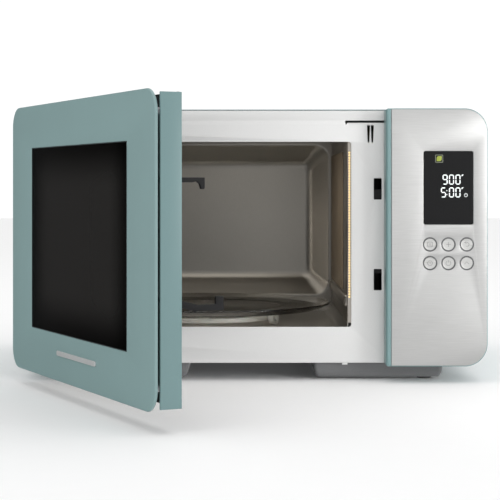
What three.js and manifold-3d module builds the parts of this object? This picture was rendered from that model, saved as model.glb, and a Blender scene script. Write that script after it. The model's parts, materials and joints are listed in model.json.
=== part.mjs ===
// Countertop microwave oven of the 25-litre class: the door is hung on the left and stands part open,
// a control panel fills the right of the front, and the cavity, its turntable and the works are inside.
// Millimetres. +X is to the user's right, +Y to the back and +Z up. Every piece is laid out from the
// body's left side, the control panel's face and the worktop; the door is laid out closed, then swung.

import * as THREE from "three";
import { mergeVertices } from "three/addons/utils/BufferGeometryUtils.js";
import Module from "manifold-3d";

const wasm = await Module();
wasm.setup();

// ---------------------------------------------------------------- driving dimensions

const bodyWidth = 515;
const bodyHeight = 281;
const bodyDepth = 422;
const bodyLift = 18;
const bodyCorner = 25;
const frontDepth = 26;
const sheet = 0.8;
const frameSheet = 1.2;
const gap = 0.3;

const panelWidth = 110.8;
const doorGap = 1;
const doorOpenAngle = 63.8;

const openingLeft = 35;
const openingStile = 36.2;
const openingSill = 40.9;
const openingHeader = 35.7;
const openingCorner = 3;
const wallStep = 4;
const floorDrop = 7.9;
const ceilingRise = 8.7;
const rearSpace = 77;
const pocketDepth = 20;
const pocketMargin = 3.6;
const pocketSlope = 25;
const pocketCorner = 18;

const turntableRadius = 152;
const plateThickness = 4.5;
const rollerRadius = 7;
const rollerWidth = 7;
const rollerTrack = 95.5;
const rollerCount = 3;

const upperHookEntry = 24;
const lowerHookEntry = 42;
const slotWidth = 8.6;
const slotHeight = 23.5;
const slotInset = 6.8;
const upperSlotRise = 52.8;
const lowerSlotDrop = 47.4;

const hingeInset = 7;
const hingeSetback = 8.6;
const hingeEndDistance = 30;
const bracketEndClearance = 17;
const hingePinRadius = 2.5;
const hingeArmWidth = 7;
const hingeArmThickness = 3;

const doorSkin = 3;
const doorCorner = 21;
const glassThickness = 3.2;
const webThickness = 1.6;
const doorSkinDepth = 22;
const doorDepth = 25.4;

const displayWidth = 53.7;
const displayHeight = 79.4;
const displayRightMargin = 16.1;
const displayTopMargin = 46.8;
const buttonRadius = 7.1;
const buttonGap = 0.7;
const buttonTravel = 0.8;
const buttonRightMargin = 23;
const buttonPitchX = 20;
const buttonPitchZ = 20.3;
const buttonDrop = 21.9;

const footRadius = 9;
const footHeight = 2.2;
const plinthInset = 44;
const lipClearance = 4;
const plinthWidth = 145;

// ---------------------------------------------------------------- places worked out from them

const bottom = bodyLift;
const top = bodyLift + bodyHeight;
const middleZ = (bottom + top) / 2;
const panelLeft = bodyWidth - panelWidth;
const doorLeft = 0.5;
const doorRight = panelLeft - doorGap;
const openingRight = panelLeft - openingStile;
const openingLow = bottom + openingSill;
const openingHigh = top - openingHeader;
const cavityLeft = openingLeft + wallStep;
const cavityRight = openingRight - wallStep;
const cavityFront = frontDepth + frameSheet + gap;
const cavityRear = bodyDepth - rearSpace;
const floorZ = openingLow - floorDrop;
const ceilingZ = openingHigh + ceilingRise;
const frameRight = panelLeft + 7.8;
const turntableX = (cavityLeft + cavityRight) / 2;
const turntableY = (cavityFront + cavityRear) / 2 + 3;
const slotX = panelLeft - slotInset;
const upperSlotZ = middleZ + upperSlotRise;
const lowerSlotZ = middleZ - lowerSlotDrop;
const hingeX = hingeInset;
const hingeY = hingeSetback;
const hingeLevels = { upper: top - hingeEndDistance, lower: bottom + hingeEndDistance };
const rearPanelY = bodyDepth - 2;
const bayLeft = openingRight + 9;

// ---------------------------------------------------------------- modelling helpers

/** A manifold solid of a closed three.js geometry, turned the right way out. */
function toSolid(geometry) {
  const bare = geometry.clone();
  bare.deleteAttribute("normal");
  bare.deleteAttribute("uv");
  const merged = mergeVertices(bare, 1e-4);
  const position = merged.getAttribute("position");
  const corners = merged.index.array;
  const kept = [];
  const a = new THREE.Vector3();
  const b = new THREE.Vector3();
  const c = new THREE.Vector3();
  let volume = 0;
  for (let i = 0; i < corners.length; i += 3) {
    const [p, q, r] = [corners[i], corners[i + 1], corners[i + 2]];
    if (p === q || q === r || r === p) continue;
    kept.push(p, q, r);
    a.fromBufferAttribute(position, p);
    b.fromBufferAttribute(position, q);
    c.fromBufferAttribute(position, r);
    volume += a.dot(b.cross(c));
  }
  if (volume < 0) kept.reverse();
  return new wasm.Manifold(
    new wasm.Mesh({ numProp: 3, vertProperties: position.array, triVerts: new Uint32Array(kept) }),
  );
}

/** The three.js geometry of a manifold solid. */
function toGeometry(solid) {
  const mesh = solid.getMesh();
  const geometry = new THREE.BufferGeometry();
  geometry.setAttribute("position", new THREE.BufferAttribute(mesh.vertProperties, 3));
  geometry.setIndex(new THREE.BufferAttribute(mesh.triVerts, 1));
  geometry.computeVertexNormals();
  return geometry;
}

const join = (...solids) => solids.reduce((whole, piece) => whole.add(piece));
const cut = (base, ...tools) => tools.reduce((whole, tool) => whole.subtract(tool), base);

/** A box between two values along each axis. */
function block([x0, x1], [y0, y1], [z0, z1]) {
  const geometry = new THREE.BoxGeometry(x1 - x0, y1 - y0, z1 - z0);
  geometry.translate((x0 + x1) / 2, (y0 + y1) / 2, (z0 + z1) / 2);
  return toSolid(geometry);
}

/** Points along an arc, both ends included, angles in degrees. */
function arc(u, v, radius, from, to, steps) {
  const points = [];
  for (let i = 0; i <= steps; i++) {
    const angle = THREE.MathUtils.degToRad(from + ((to - from) * i) / steps);
    points.push(new THREE.Vector2(u + radius * Math.cos(angle), v + radius * Math.sin(angle)));
  }
  return points;
}

/** A rectangle's outline; radii run from the low-low corner counter-clockwise, or one for all four. */
function outline([u0, u1], [v0, v1], radii = 0, steps = 6) {
  const r = Array.isArray(radii) ? radii : [radii, radii, radii, radii];
  const corner = (u, v, radius, from) =>
    radius ? arc(u, v, radius, from, from + 90, steps) : [new THREE.Vector2(u, v)];
  return [
    ...corner(u0 + r[0], v0 + r[0], r[0], 180),
    ...corner(u1 - r[1], v0 + r[1], r[1], 270),
    ...corner(u1 - r[2], v1 - r[2], r[2], 0),
    ...corner(u0 + r[3], v1 - r[3], r[3], 90),
  ];
}

const circle = (u, v, radius, steps = 16) => arc(u, v, radius, 0, 360, steps).slice(0, -1);
const polygon = (pairs) => pairs.map(([u, v]) => new THREE.Vector2(u, v));

// Each plane's matrix takes an outline's own u and v, and the extrusion's depth, to the object's axes.
const planes = {
  xy: new THREE.Matrix4(),
  xz: new THREE.Matrix4().makeBasis(
    new THREE.Vector3(1, 0, 0), new THREE.Vector3(0, 0, 1), new THREE.Vector3(0, -1, 0)),
  yz: new THREE.Matrix4().makeBasis(
    new THREE.Vector3(0, 1, 0), new THREE.Vector3(0, 0, 1), new THREE.Vector3(1, 0, 0)),
};

/** An outline in one plane carried between two values of the third axis, with optional holes. */
function slab(plane, points, [low, high], holes = []) {
  const shape = new THREE.Shape(points);
  shape.holes = holes.map((hole) => new THREE.Path(hole));
  const geometry = new THREE.ExtrudeGeometry(shape, { depth: high - low, bevelEnabled: false });
  geometry.translate(0, 0, plane === "xz" ? -high : low);
  geometry.applyMatrix4(planes[plane]);
  return toSolid(geometry);
}

/** A turned piece: [radius, distance along the axis] pairs swept about an axis through a point. */
function turned(axis, [x, y, z], profile, steps = 16) {
  const points = profile.map(([radius, along]) => new THREE.Vector2(radius, along));
  const geometry = new THREE.LatheGeometry(points, steps);
  if (axis === "z") geometry.rotateX(Math.PI / 2);
  if (axis === "x") geometry.rotateZ(-Math.PI / 2);
  geometry.translate(x, y, z);
  return toSolid(geometry);
}

/** A plain round bar about an axis; the point's own coordinate along the axis is ignored. */
function bar(axis, [x, y, z], radius, [from, to], steps = 16) {
  const origin = [axis === "x" ? 0 : x, axis === "y" ? 0 : y, axis === "z" ? 0 : z];
  return turned(axis, origin, [[0, from], [radius, from], [radius, to], [0, to]], steps);
}

/** A block whose far end is smaller: the outline at `from` shrinks by `inset` all round at `to`. */
function tapered(plane, [u0, u1], [v0, v1], corner, [from, to], inset) {
  const [low, high] = [Math.min(from, to), Math.max(from, to)];
  const shape = new THREE.Shape(outline([u0, u1], [v0, v1], corner, 4));
  const geometry = new THREE.ExtrudeGeometry(shape, { depth: high - low, bevelEnabled: false });
  const sign = plane === "xz" ? -1 : 1;
  geometry.translate(0, 0, sign > 0 ? low : -high);
  const place = geometry.getAttribute("position");
  const [midU, midV] = [(u0 + u1) / 2, (v0 + v1) / 2];
  for (let i = 0; i < place.count; i++) {
    const isFar = Math.abs(place.getZ(i) - sign * to) < Math.abs(place.getZ(i) - sign * from);
    if (!isFar) continue;
    place.setX(i, midU + (place.getX(i) - midU) * (1 - (2 * inset) / (u1 - u0)));
    place.setY(i, midV + (place.getY(i) - midV) * (1 - (2 * inset) / (v1 - v0)));
  }
  geometry.applyMatrix4(planes[plane]);
  return toSolid(geometry);
}

/** The same solid turned about the vertical or another axis through a point, in degrees. */
function turn(solid, axis, degrees, [x, y, z]) {
  const matrix = new THREE.Matrix4().makeTranslation(x, y, z);
  const direction = { x: [1, 0, 0], y: [0, 1, 0], z: [0, 0, 1] }[axis];
  matrix.multiply(
    new THREE.Matrix4().makeRotationAxis(
      new THREE.Vector3(...direction), THREE.MathUtils.degToRad(degrees)),
  );
  matrix.multiply(new THREE.Matrix4().makeTranslation(-x, -y, -z));
  return toSolid(toGeometry(solid).applyMatrix4(matrix));
}

const finishes = {
  teal: { color: 0x7a9698, roughness: 0.35, metalness: 0 },
  brushed: { color: 0xc8c8c6, roughness: 0.35, metalness: 1 },
  frameWhite: { color: 0xdcdcda, roughness: 0.4, metalness: 0.1 },
  cavitySteel: { color: 0xa8a49c, roughness: 0.35, metalness: 1 },
  zinc: { color: 0x9a9c9e, roughness: 0.5, metalness: 1 },
  darkGrey: { color: 0x5c5e60, roughness: 0.5, metalness: 0.6 },
  black: { color: 0x141414, roughness: 0.45, metalness: 0 },
  whitePlastic: { color: 0xe4e2dc, roughness: 0.5, metalness: 0 },
  mica: { color: 0xb8a080, roughness: 0.6, metalness: 0 },
  glass: { color: 0xdfe8e6, roughness: 0.05, metalness: 0 },
  chrome: { color: 0xe8e8e8, roughness: 0.1, metalness: 1 },
  rubber: { color: 0x101010, roughness: 0.8, metalness: 0 },
  circuit: { color: 0x2e5a3a, roughness: 0.6, metalness: 0 },
};

/** Adds one named piece to a group. */
function part(group, name, solid, finish) {
  const mesh = new THREE.Mesh(toGeometry(solid), new THREE.MeshStandardMaterial(finishes[finish]));
  mesh.name = name;
  group.add(mesh);
}

// ---------------------------------------------------------------- body shell

const ventLength = 26;
const ventWidth = 3.5;
const ventPitch = 9;

/** A row of upright vent slots to cut, on a wall that faces along the given axis. */
function vents(axis, start, count, centreZ, [low, high]) {
  const slots = [];
  for (let i = 0; i < count; i++) {
    const u = start + i * ventPitch;
    const across = [u - ventWidth / 2, u + ventWidth / 2];
    const upright = [centreZ - ventLength / 2, centreZ + ventLength / 2];
    slots.push(axis === "y" ? block(across, [low, high], upright) : block([low, high], across, upright));
  }
  return slots;
}

/** The wrapper: one bent sheet over both sides and the top, its lips turned under the body. */
function outerCasing() {
  const outside = outline([0, bodyWidth], [bottom, top], bodyCorner);
  const inside = outline([sheet, bodyWidth - sheet], [bottom + sheet, top - sheet], bodyCorner - sheet);
  const wrapper = slab("xz", outside, [frontDepth, bodyDepth], [inside]);
  const underside = block(
    [plinthInset - lipClearance, bodyWidth - plinthInset + lipClearance],
    [frontDepth - 1, bodyDepth + 1],
    [bottom - 1, bottom + sheet + 1],
  );
  const ventRow = bodyDepth - 120;
  const leftVents = vents("x", ventRow, 9, middleZ + 60, [-1, sheet + 1]);
  const rightVents = vents("x", ventRow, 9, middleZ + 60, [bodyWidth - sheet - 1, bodyWidth + 1]);
  return cut(wrapper, underside, ...leftVents, ...rightVents);
}

const glandX = bodyWidth - 60;
const glandZ = bottom + 48;
const glandNeck = 7.6;

/** The rear panel, set just inside the wrapper's back edge. */
function rearPanel() {
  const inset = sheet + gap;
  const plate = slab(
    "xz",
    outline([inset, bodyWidth - inset], [bottom + inset, top - inset], bodyCorner - inset),
    [rearPanelY, rearPanelY + sheet],
  );
  const through = [rearPanelY - 1, rearPanelY + sheet + 1];
  const fanVents = [-18, 18].flatMap((rise) => vents("y", fanX - 4 * ventPitch, 9, fanZ + rise, through));
  const steamVents = vents("y", cavityLeft + 20, 9, top - 45, through);
  const glandHole = bar("y", [glandX, 0, glandZ], glandNeck + gap, through);
  return cut(plate, ...fanVents, ...steamVents, glandHole);
}

/** The strain-relief gland for the mains lead, clipped into the rear panel. */
function cordGland() {
  const bore = 3.6;
  const profile = [
    [bore, rearPanelY - 5],
    [glandNeck + 2, rearPanelY - 5],
    [glandNeck + 2, rearPanelY - gap],
    [glandNeck, rearPanelY - gap],
    [glandNeck, rearPanelY + sheet + gap],
    [glandNeck + 3, rearPanelY + sheet + gap],
    [glandNeck + 1, rearPanelY + sheet + 5],
    [bore, rearPanelY + sheet + 5],
    [bore, rearPanelY - 5],
  ];
  return turned("y", [glandX, 0, glandZ], profile, 16);
}

const panZ = bottom + sheet + gap;
const plinthBottom = footHeight + gap;
const plinthFront = frontDepth + 6;
const plinthRear = bodyDepth - 26;
const plinthsX = [
  [plinthInset, plinthInset + plinthWidth],
  [bodyWidth - plinthInset - plinthWidth, bodyWidth - plinthInset],
];
const footStem = 2.6;
const footSetIn = 20;
const feet = {
  foot_front_left: [plinthInset + footSetIn, plinthFront + footSetIn],
  foot_front_right: [bodyWidth - plinthInset - footSetIn, plinthFront + footSetIn],
  foot_rear_left: [plinthInset + footSetIn, plinthRear - footSetIn],
  foot_rear_right: [bodyWidth - plinthInset - footSetIn, plinthRear - footSetIn],
};

/** The base pan: a flat sheet over the wrapper's lips with two plinths drawn down to the feet. */
function basePan() {
  const slope = 5;
  const flat = block(
    [bodyCorner - 1, bodyWidth - bodyCorner + 1],
    [frontDepth + frameSheet + gap, rearPanelY - 6],
    [panZ, panZ + sheet],
  );
  const outside = plinthsX.map((across) =>
    tapered("xy", across, [plinthFront, plinthRear], 2, [panZ + sheet / 2, plinthBottom], slope));
  const inside = plinthsX.map(([low, high]) =>
    tapered(
      "xy", [low + sheet, high - sheet], [plinthFront + sheet, plinthRear - sheet], 2,
      [panZ + sheet + 1, plinthBottom + sheet], slope));
  const stemHoles = Object.values(feet).map(([x, y]) =>
    bar("z", [x, y, 0], footStem + gap, [plinthBottom - 1, plinthBottom + sheet + 1], 12));
  return cut(join(flat, ...outside), ...inside, ...stemHoles);
}

/** A rubber foot with the stem that pushes through the plinth. */
function foot(x, y) {
  const profile = [
    [0, 0],
    [footRadius - 1, 0],
    [footRadius, footHeight],
    [footStem, footHeight],
    [footStem, plinthBottom + sheet + 3],
    [0, plinthBottom + sheet + 3],
  ];
  return turned("z", [x, y, 0], profile, 16);
}

/** The painted front frame with the cavity opening, the latch slots and the hinge-arm slots. */
function frontFrame() {
  const inset = sheet + gap;
  const corner = bodyCorner - inset;
  const edge = outline([inset, frameRight], [bottom + inset, top - inset], [corner, 0, 0, corner]);
  const opening = outline([openingLeft, openingRight], [openingLow, openingHigh], openingCorner, 3);
  const plate = slab("xz", edge, [frontDepth, frontDepth + frameSheet], [opening]);
  const through = [frontDepth - 1, frontDepth + frameSheet + 1];
  const latchSlots = [upperSlotZ, lowerSlotZ].map((z) =>
    block([slotX - slotWidth / 2, slotX + slotWidth / 2], through, [z - slotHeight / 2, z + slotHeight / 2]));
  const armSlots = Object.values(hingeLevels).map((z) =>
    block(
      [hingeX - hingeArmWidth / 2 - 1, hingeX + hingeArmWidth / 2 + 1],
      through,
      [z - hingeArmThickness / 2 - 1, z + hingeArmThickness / 2 + 1],
    ));
  const seamZ = top - 13.4;
  const seamHalf = 1.2;
  const seamLeft = openingRight - 6.4;
  const seam = block([seamLeft, panelLeft + 2], through, [seamZ - seamHalf, seamZ + seamHalf]);
  const seamHook = block([seamLeft, seamLeft + 1.6], through, [seamZ - 3, seamZ]);
  const keyed = [slotX - 10.2, slotX - 6].map((x) =>
    slab("xz", polygon([[x - 1.6, seamZ - 3.6], [x - 0.8, seamZ - 23], [x + 0.8, seamZ - 23],
      [x + 1.6, seamZ - 3.6]]), through));
  return cut(plate, ...latchSlots, ...armSlots, seam, seamHook, ...keyed);
}

// ---------------------------------------------------------------- oven cavity

const floorFillet = 12;
const filletTop = floorZ + floorFillet;
const sideFlange = 8;
const coupleHole = 6;

/** The cavity floor, its sides swept up into the walls by a fillet. */
function cavityFloorPan() {
  const outer = floorFillet + sheet;
  const section = [
    ...arc(cavityLeft + floorFillet, filletTop, outer, 180, 270, 6),
    ...arc(cavityRight - floorFillet, filletTop, outer, 270, 360, 6),
    ...arc(cavityRight - floorFillet, filletTop, floorFillet, 360, 270, 6),
    ...arc(cavityLeft + floorFillet, filletTop, floorFillet, 270, 180, 6),
  ];
  const pan = slab("xz", section, [cavityFront, cavityRear - gap]);
  const hole = bar("z", [turntableX, turntableY, 0], coupleHole, [floorZ - 2, floorZ + 1]);
  return cut(pan, hole);
}

/** A cavity side wall: a sheet with a flange turned outward behind the front frame. */
function cavitySide(wallX, outward) {
  const span = (a, b) => [Math.min(a, b), Math.max(a, b)];
  const upright = [filletTop + gap, ceilingZ];
  const wall = block(span(wallX, wallX + outward * sheet), [cavityFront, cavityRear - gap], upright);
  const flange = block(
    span(wallX, wallX + outward * (wallStep + sideFlange)), [cavityFront, cavityFront + sheet], upright);
  return join(wall, flange);
}

const micaY = [cavityFront + 70, cavityRear - 15];
const micaZ = [floorZ + 44, ceilingZ - 18];
const guideHalfWidth = 65;
const guideSetback = 9.25;
const guideMiddle = (cavityFront + cavityRear) / 2 + guideSetback;
const guideY = [guideMiddle - guideHalfWidth, guideMiddle + guideHalfWidth];
const guideZ = [middleZ + 6, middleZ + 56];
const guideWidth = 20;
const ribZ = [floorZ + 29, floorZ + 42];
const lampY = cavityFront + 61;
const lampZ = middleZ + 42;

/** The left wall with the steam outlet. */
function cavitySideLeft() {
  const outlet = vents("x", cavityRear - 110, 9, middleZ + 60, [cavityLeft - 3, cavityLeft + 2]);
  return cut(cavitySide(cavityLeft, -1), ...outlet);
}

/** The right wall with the lamp's slits, the microwave port and the pressed rib. */
function cavitySideRight() {
  const through = [cavityRight - 2, cavityRight + sheet + 2];
  const slits = [];
  const slitCount = 12;
  const slitPitch = 13.5;
  for (let i = 0; i < slitCount; i++) {
    const z = bottom + 82 + i * slitPitch;
    slits.push(block(through, [lampY - 16, lampY - 4], [z - 2, z + 2]));
  }
  const portMargin = 8;
  const port = block(
    through,
    [guideY[0] + portMargin, guideY[1] - portMargin],
    [guideZ[0] + portMargin, guideZ[1] - portMargin],
  );
  const rib = tapered(
    "yz", [cavityFront + 14, cavityRear - 12], ribZ, 2, [cavityRight + sheet / 2, cavityRight - 3.5], 2.5);
  return cut(join(cavitySide(cavityRight, 1), rib), ...slits, port);
}

/** The cavity ceiling with its front flange turned up. */
function cavityCeiling() {
  const across = [cavityLeft - sheet, cavityRight + sheet];
  const level = ceilingZ + gap;
  const plate = block(across, [cavityFront, cavityRear - gap], [level, level + sheet]);
  const flange = block(across, [cavityFront, cavityFront + sheet], [level, level + 10]);
  return join(plate, flange);
}

/** The cavity's back plate with the deep-drawn pocket. */
function cavityBack() {
  const across = [cavityLeft + pocketMargin, cavityRight - pocketMargin];
  const upright = [floorZ + 21, ceilingZ - 3];
  const plate = block(
    [cavityLeft - sheet, cavityRight + sheet],
    [cavityRear, cavityRear + sheet],
    [floorZ - sheet, ceilingZ + gap + sheet],
  );
  const outside = tapered(
    "xz", [across[0] - sheet, across[1] + sheet], [upright[0] - sheet, upright[1] + sheet], pocketCorner,
    [cavityRear + sheet / 2, cavityRear + pocketDepth + sheet], pocketSlope);
  const inside = tapered(
    "xz", across, upright, pocketCorner, [cavityRear - 0.5, cavityRear + pocketDepth], pocketSlope);
  return cut(join(plate, outside), inside);
}

/** The mica cover over the microwave port. */
function waveguideCover() {
  const face = cavityRight - gap;
  return slab("yz", outline(micaY, micaZ, 4, 2), [face - 0.8, face]);
}

// ---------------------------------------------------------------- turntable

const plateUnderside = floorZ + 2 * rollerRadius + 2 * gap;
const rollerZ = floorZ + rollerRadius + gap;
const rollerAxle = 2.2;
const rollerBore = 2.5;
const rollerInner = rollerTrack - rollerWidth / 2;
const rollerOuter = rollerTrack + rollerWidth / 2;
const ringClearance = 4;
const ringWidth = 10;
const ringOuter = rollerInner - ringClearance;
const ringInner = ringOuter - ringWidth;
const shaftRadius = 3;

/** The glass plate: a flat dish with a raised rim. */
function glassPlate() {
  const low = plateUnderside;
  const high = plateUnderside + plateThickness;
  const rim = turntableRadius;
  const profile = [
    [0, low],
    [rim - 32, low],
    [rim - 14, low + 1.5],
    [rim, low + 8],
    [rim - 1, low + 9.5],
    [rim - 3, low + 9.5],
    [rim - 16, high + 1.5],
    [rim - 34, high],
    [0, high],
  ];
  return turned("z", [turntableX, turntableY, 0], profile, 48);
}

/** The three-armed coupler that turns the plate, with its drive shaft. */
function coupler() {
  const seat = [floorZ + 3, plateUnderside - gap];
  const hub = bar("z", [turntableX, turntableY, 0], 9, seat, 16);
  const shaft = bar("z", [turntableX, turntableY, 0], shaftRadius, [floorZ - 12, seat[0] + 1], 12);
  const arms = [90, 210, 330].map((degrees) =>
    turn(
      block([turntableX, turntableX + 20], [turntableY - 3.5, turntableY + 3.5], [seat[0] + 3, seat[1]]),
      "z", degrees, [turntableX, turntableY, 0]));
  return join(hub, shaft, ...arms);
}

/** The synchronous motor that hangs under the cavity floor. */
function turntableMotor() {
  const under = floorZ - sheet - gap;
  const can = bar("z", [turntableX, turntableY, 0], 24, [under - 16, under], 24);
  const ears = block([turntableX - 34, turntableX + 34], [turntableY - 6, turntableY + 6], [under - 1.5, under]);
  const terminals = block([turntableX - 6, turntableX + 6], [turntableY + 20, turntableY + 32],
    [under - 13, under - 5]);
  const socket = bar("z", [turntableX, turntableY, 0], shaftRadius + 0.6, [under - 13, under + 1], 12);
  return cut(join(can, ears, terminals), socket);
}

/** The ring that carries the rollers, with one headed axle for each. */
function rollerRing() {
  const ring = slab(
    "xy", circle(turntableX, turntableY, ringOuter, 36), [rollerZ - 2.5, rollerZ + 2.5],
    [circle(turntableX, turntableY, ringInner, 36)]);
  const axles = rollerAngles().map((degrees) => {
    const axle = join(
      bar("x", [0, turntableY, rollerZ], rollerAxle, [turntableX + ringOuter - 4, turntableX + rollerOuter + 1], 8),
      bar("x", [0, turntableY, rollerZ], 3.6,
        [turntableX + rollerOuter + gap, turntableX + rollerOuter + 2], 8),
    );
    return turn(axle, "z", degrees, [turntableX, turntableY, 0]);
  });
  return join(ring, ...axles);
}

/** The directions of the rollers round the ring, in degrees. */
function rollerAngles() {
  return Array.from({ length: rollerCount }, (_, i) => 90 + (i * 360) / rollerCount);
}

/** One roller, turned to its place round the ring. */
function roller(degrees) {
  const wheel = turned(
    "x", [turntableX, turntableY, rollerZ],
    [[rollerBore, rollerInner], [rollerRadius, rollerInner], [rollerRadius, rollerOuter],
      [rollerBore, rollerOuter], [rollerBore, rollerInner]], 20);
  return turn(wheel, "z", degrees, [turntableX, turntableY, 0]);
}

// ---------------------------------------------------------------- works beside the cavity

const fanX = (bayLeft + bodyWidth) / 2;
const fanZ = middleZ + 50;
const fanRadius = 48;
const fanY = rearPanelY - 34;
const magnetronX = cavityRight + sheet + guideWidth + 2 * gap;

/** The sheet-metal duct that carries the microwaves to the port. */
function waveguide() {
  const across = [cavityRight + sheet + gap, cavityRight + sheet + gap + guideWidth];
  const outside = block(across, guideY, guideZ);
  const inside = block(
    [across[0] - 1, across[1] - sheet],
    [guideY[0] + sheet, guideY[1] - sheet],
    [guideZ[0] + sheet, guideZ[1] - sheet],
  );
  const antennaHole = bar("x", [0, guideY[1] - 35, (guideZ[0] + guideZ[1]) / 2], 11,
    [across[1] - sheet - 1, across[1] + 1]);
  return cut(outside, inside, antennaHole);
}

/** The magnetron: finned block, filter box below and antenna reaching into the duct. */
function magnetron() {
  const centreY = guideY[1] - 35;
  const centreZ = (guideZ[0] + guideZ[1]) / 2;
  const finned = block([magnetronX, magnetronX + 62], [centreY - 38, centreY + 38], [centreZ - 36, centreZ + 36]);
  const grooves = [];
  for (let i = 0; i < 5; i++) {
    const x = magnetronX + 12 + i * 8;
    grooves.push(block([x, x + 4], [centreY - 40, centreY - 18], [centreZ - 30, centreZ + 30]));
  }
  const filterBox = block([magnetronX + 8, magnetronX + 56], [centreY - 30, centreY + 30],
    [centreZ - 56, centreZ - 34]);
  const antenna = bar("x", [0, centreY, centreZ], 9, [magnetronX - 15, magnetronX + 1]);
  return cut(join(finned, filterBox, antenna), ...grooves);
}

/** The high-voltage transformer: laminated core and two windings. */
function transformer() {
  const centreX = fanX + 4;
  const centreY = frontDepth + 92;
  const base = panZ + sheet + gap;
  const core = block([centreX - 38, centreX + 38], [centreY - 28, centreY + 28], [base, base + 66]);
  const windings = block([centreX - 26, centreX + 26], [centreY - 40, centreY + 40], [base + 12, base + 54]);
  const seam = block([centreX - 20, centreX + 20], [centreY - 42, centreY + 42], [base + 31, base + 34]);
  return cut(join(core, windings), cut(seam, core));
}

/** The oval high-voltage capacitor lying on the base pan, terminals to the front. */
function capacitor() {
  const centreX = fanX + 4;
  const base = panZ + sheet + gap;
  const along = [frontDepth + 174, frontDepth + 262];
  const can = slab("xz", outline([centreX - 27, centreX + 27], [base, base + 34], 16), along);
  const tabs = [-9, 9].map((shift) =>
    block([centreX + shift - 3, centreX + shift + 3], [along[0] - 9, along[0] + 1], [base + 14, base + 20]));
  return join(can, ...tabs);
}

/** The fan's plate and duct ring, with the bridge that carries the motor. */
function fanShroud() {
  const half = fanRadius + 10;
  const plate = slab("xz", outline([fanX - half, fanX + half], [fanZ - half, fanZ + half], 6, 3),
    [fanY + 14, fanY + 16], [circle(fanX, fanZ, fanRadius + 3, 28)]);
  const duct = slab("xz", circle(fanX, fanZ, fanRadius + 5, 28), [fanY - 6, fanY + 14.5],
    [circle(fanX, fanZ, fanRadius + 3, 28)]);
  const bridge = block([fanX - fanRadius - 4, fanX + fanRadius + 4], [fanY - 6, fanY - 3], [fanZ - 8, fanZ + 8]);
  const shaftHole = bar("y", [fanX, 0, fanZ], 4.5, [fanY - 8, fanY], 12);
  return cut(join(plate, duct, bridge), shaftHole);
}

/** The shaded-pole motor in front of the fan. */
function fanMotor() {
  const along = [fanY - 36, fanY - 6 - gap];
  const stack = block([fanX - 24, fanX + 24], [along[0] + 8, along[1] - 6], [fanZ - 30, fanZ + 24]);
  const bearings = bar("y", [fanX, 0, fanZ], 14, along, 16);
  const coil = block([fanX - 17, fanX + 17], [along[0] + 3, along[1] - 2], [fanZ - 34, fanZ - 18]);
  const bore = bar("y", [fanX, 0, fanZ], 3.2, [along[0] + 4, along[1] + 1], 12);
  return cut(join(stack, bearings, coil), bore);
}

/** The fan: hub, pitched blades and the shaft that runs into the motor. */
function fanBlade() {
  const hub = bar("y", [fanX, 0, fanZ], 11, [fanY, fanY + 12], 16);
  const shaft = bar("y", [fanX, 0, fanZ], 2.5, [fanY - 28, fanY + 1], 10);
  const bladeCount = 5;
  const pitchAngle = 35;
  const blades = [];
  for (let i = 0; i < bladeCount; i++) {
    const centre = [fanX, fanY + 6, fanZ];
    const blade = block([fanX + 8, fanX + fanRadius], [fanY + 5.2, fanY + 6.8], [fanZ - 8.5, fanZ + 8.5]);
    const pitched = turn(blade, "x", pitchAngle, centre);
    blades.push(turn(pitched, "y", (i * 360) / bladeCount, centre));
  }
  return join(hub, shaft, ...blades);
}

/** The lamp: glass bulb and its cap, lying across the bay beside the wall's slits. */
function ovenLamp() {
  const start = cavityRight + 8;
  const profile = [[0, start], [7, start + 2], [11, start + 9], [11, start + 14], [7, start + 24], [7, start + 34],
    [0, start + 34]];
  return turned("x", [0, lampY, lampZ], profile, 16);
}

/** The lamp's holder on its bracket. */
function lampHolder() {
  const start = cavityRight + 8 + 34 + gap;
  const socket = block([start, start + 14], [lampY - 10, lampY + 10], [lampZ - 12, lampZ + 12]);
  const bracket = block([start + 4, start + 5.5], [lampY - 10, lampY + 30], [lampZ - 24, lampZ + 12]);
  return join(socket, bracket);
}

/** The mains filter board with its choke, capacitor and fuse. */
function filterBoard() {
  const level = bottom + 96;
  const along = [rearPanelY - 118, rearPanelY - 46];
  const board = block([bayLeft + 10, bayLeft + 110], along, [level, level + 1.6]);
  const choke = bar("z", [bayLeft + 36, along[0] + 34, 0], 14, [level + 1, level + 20]);
  const film = block([bayLeft + 62, bayLeft + 92], [along[0] + 12, along[0] + 28], [level + 1, level + 18]);
  const fuse = bar("x", [0, along[0] + 52, level + 7], 3.5, [bayLeft + 62, bayLeft + 92], 10);
  const fuseClips = block([bayLeft + 66, bayLeft + 88], [along[0] + 50, along[0] + 54], [level + 1, level + 6]);
  return join(board, choke, film, fuse, fuseClips);
}

// ---------------------------------------------------------------- latch

const hookThickness = 3;
const hookLeft = slotX - 3.4;
const hookPivotY = doorSkinDepth - 10;
const hookPivotRadius = 1.9;
const hookHub = 5;
const hookX = [hookLeft, hookLeft + hookThickness];
const upperPivotZ = upperSlotZ + 7.6;
const lowerPivotZ = lowerSlotZ + 4.6;
const upperReach = frontDepth + upperHookEntry;
const lowerReach = frontDepth + lowerHookEntry;

/** The upper hook: a straight bar whose tooth points down. */
function upperHook() {
  const barTop = upperSlotZ + 10.2;
  const barBottom = upperSlotZ + 5.9;
  const tooth = upperSlotZ;
  const side = polygon([[hookPivotY, barBottom], [upperReach - 6, barBottom], [upperReach - 6, tooth + 1],
    [upperReach - 5, tooth], [upperReach - 3.5, tooth], [upperReach, tooth + 4], [upperReach, barTop],
    [hookPivotY, barTop]]);
  return latchHook(side, upperPivotZ);
}

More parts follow.
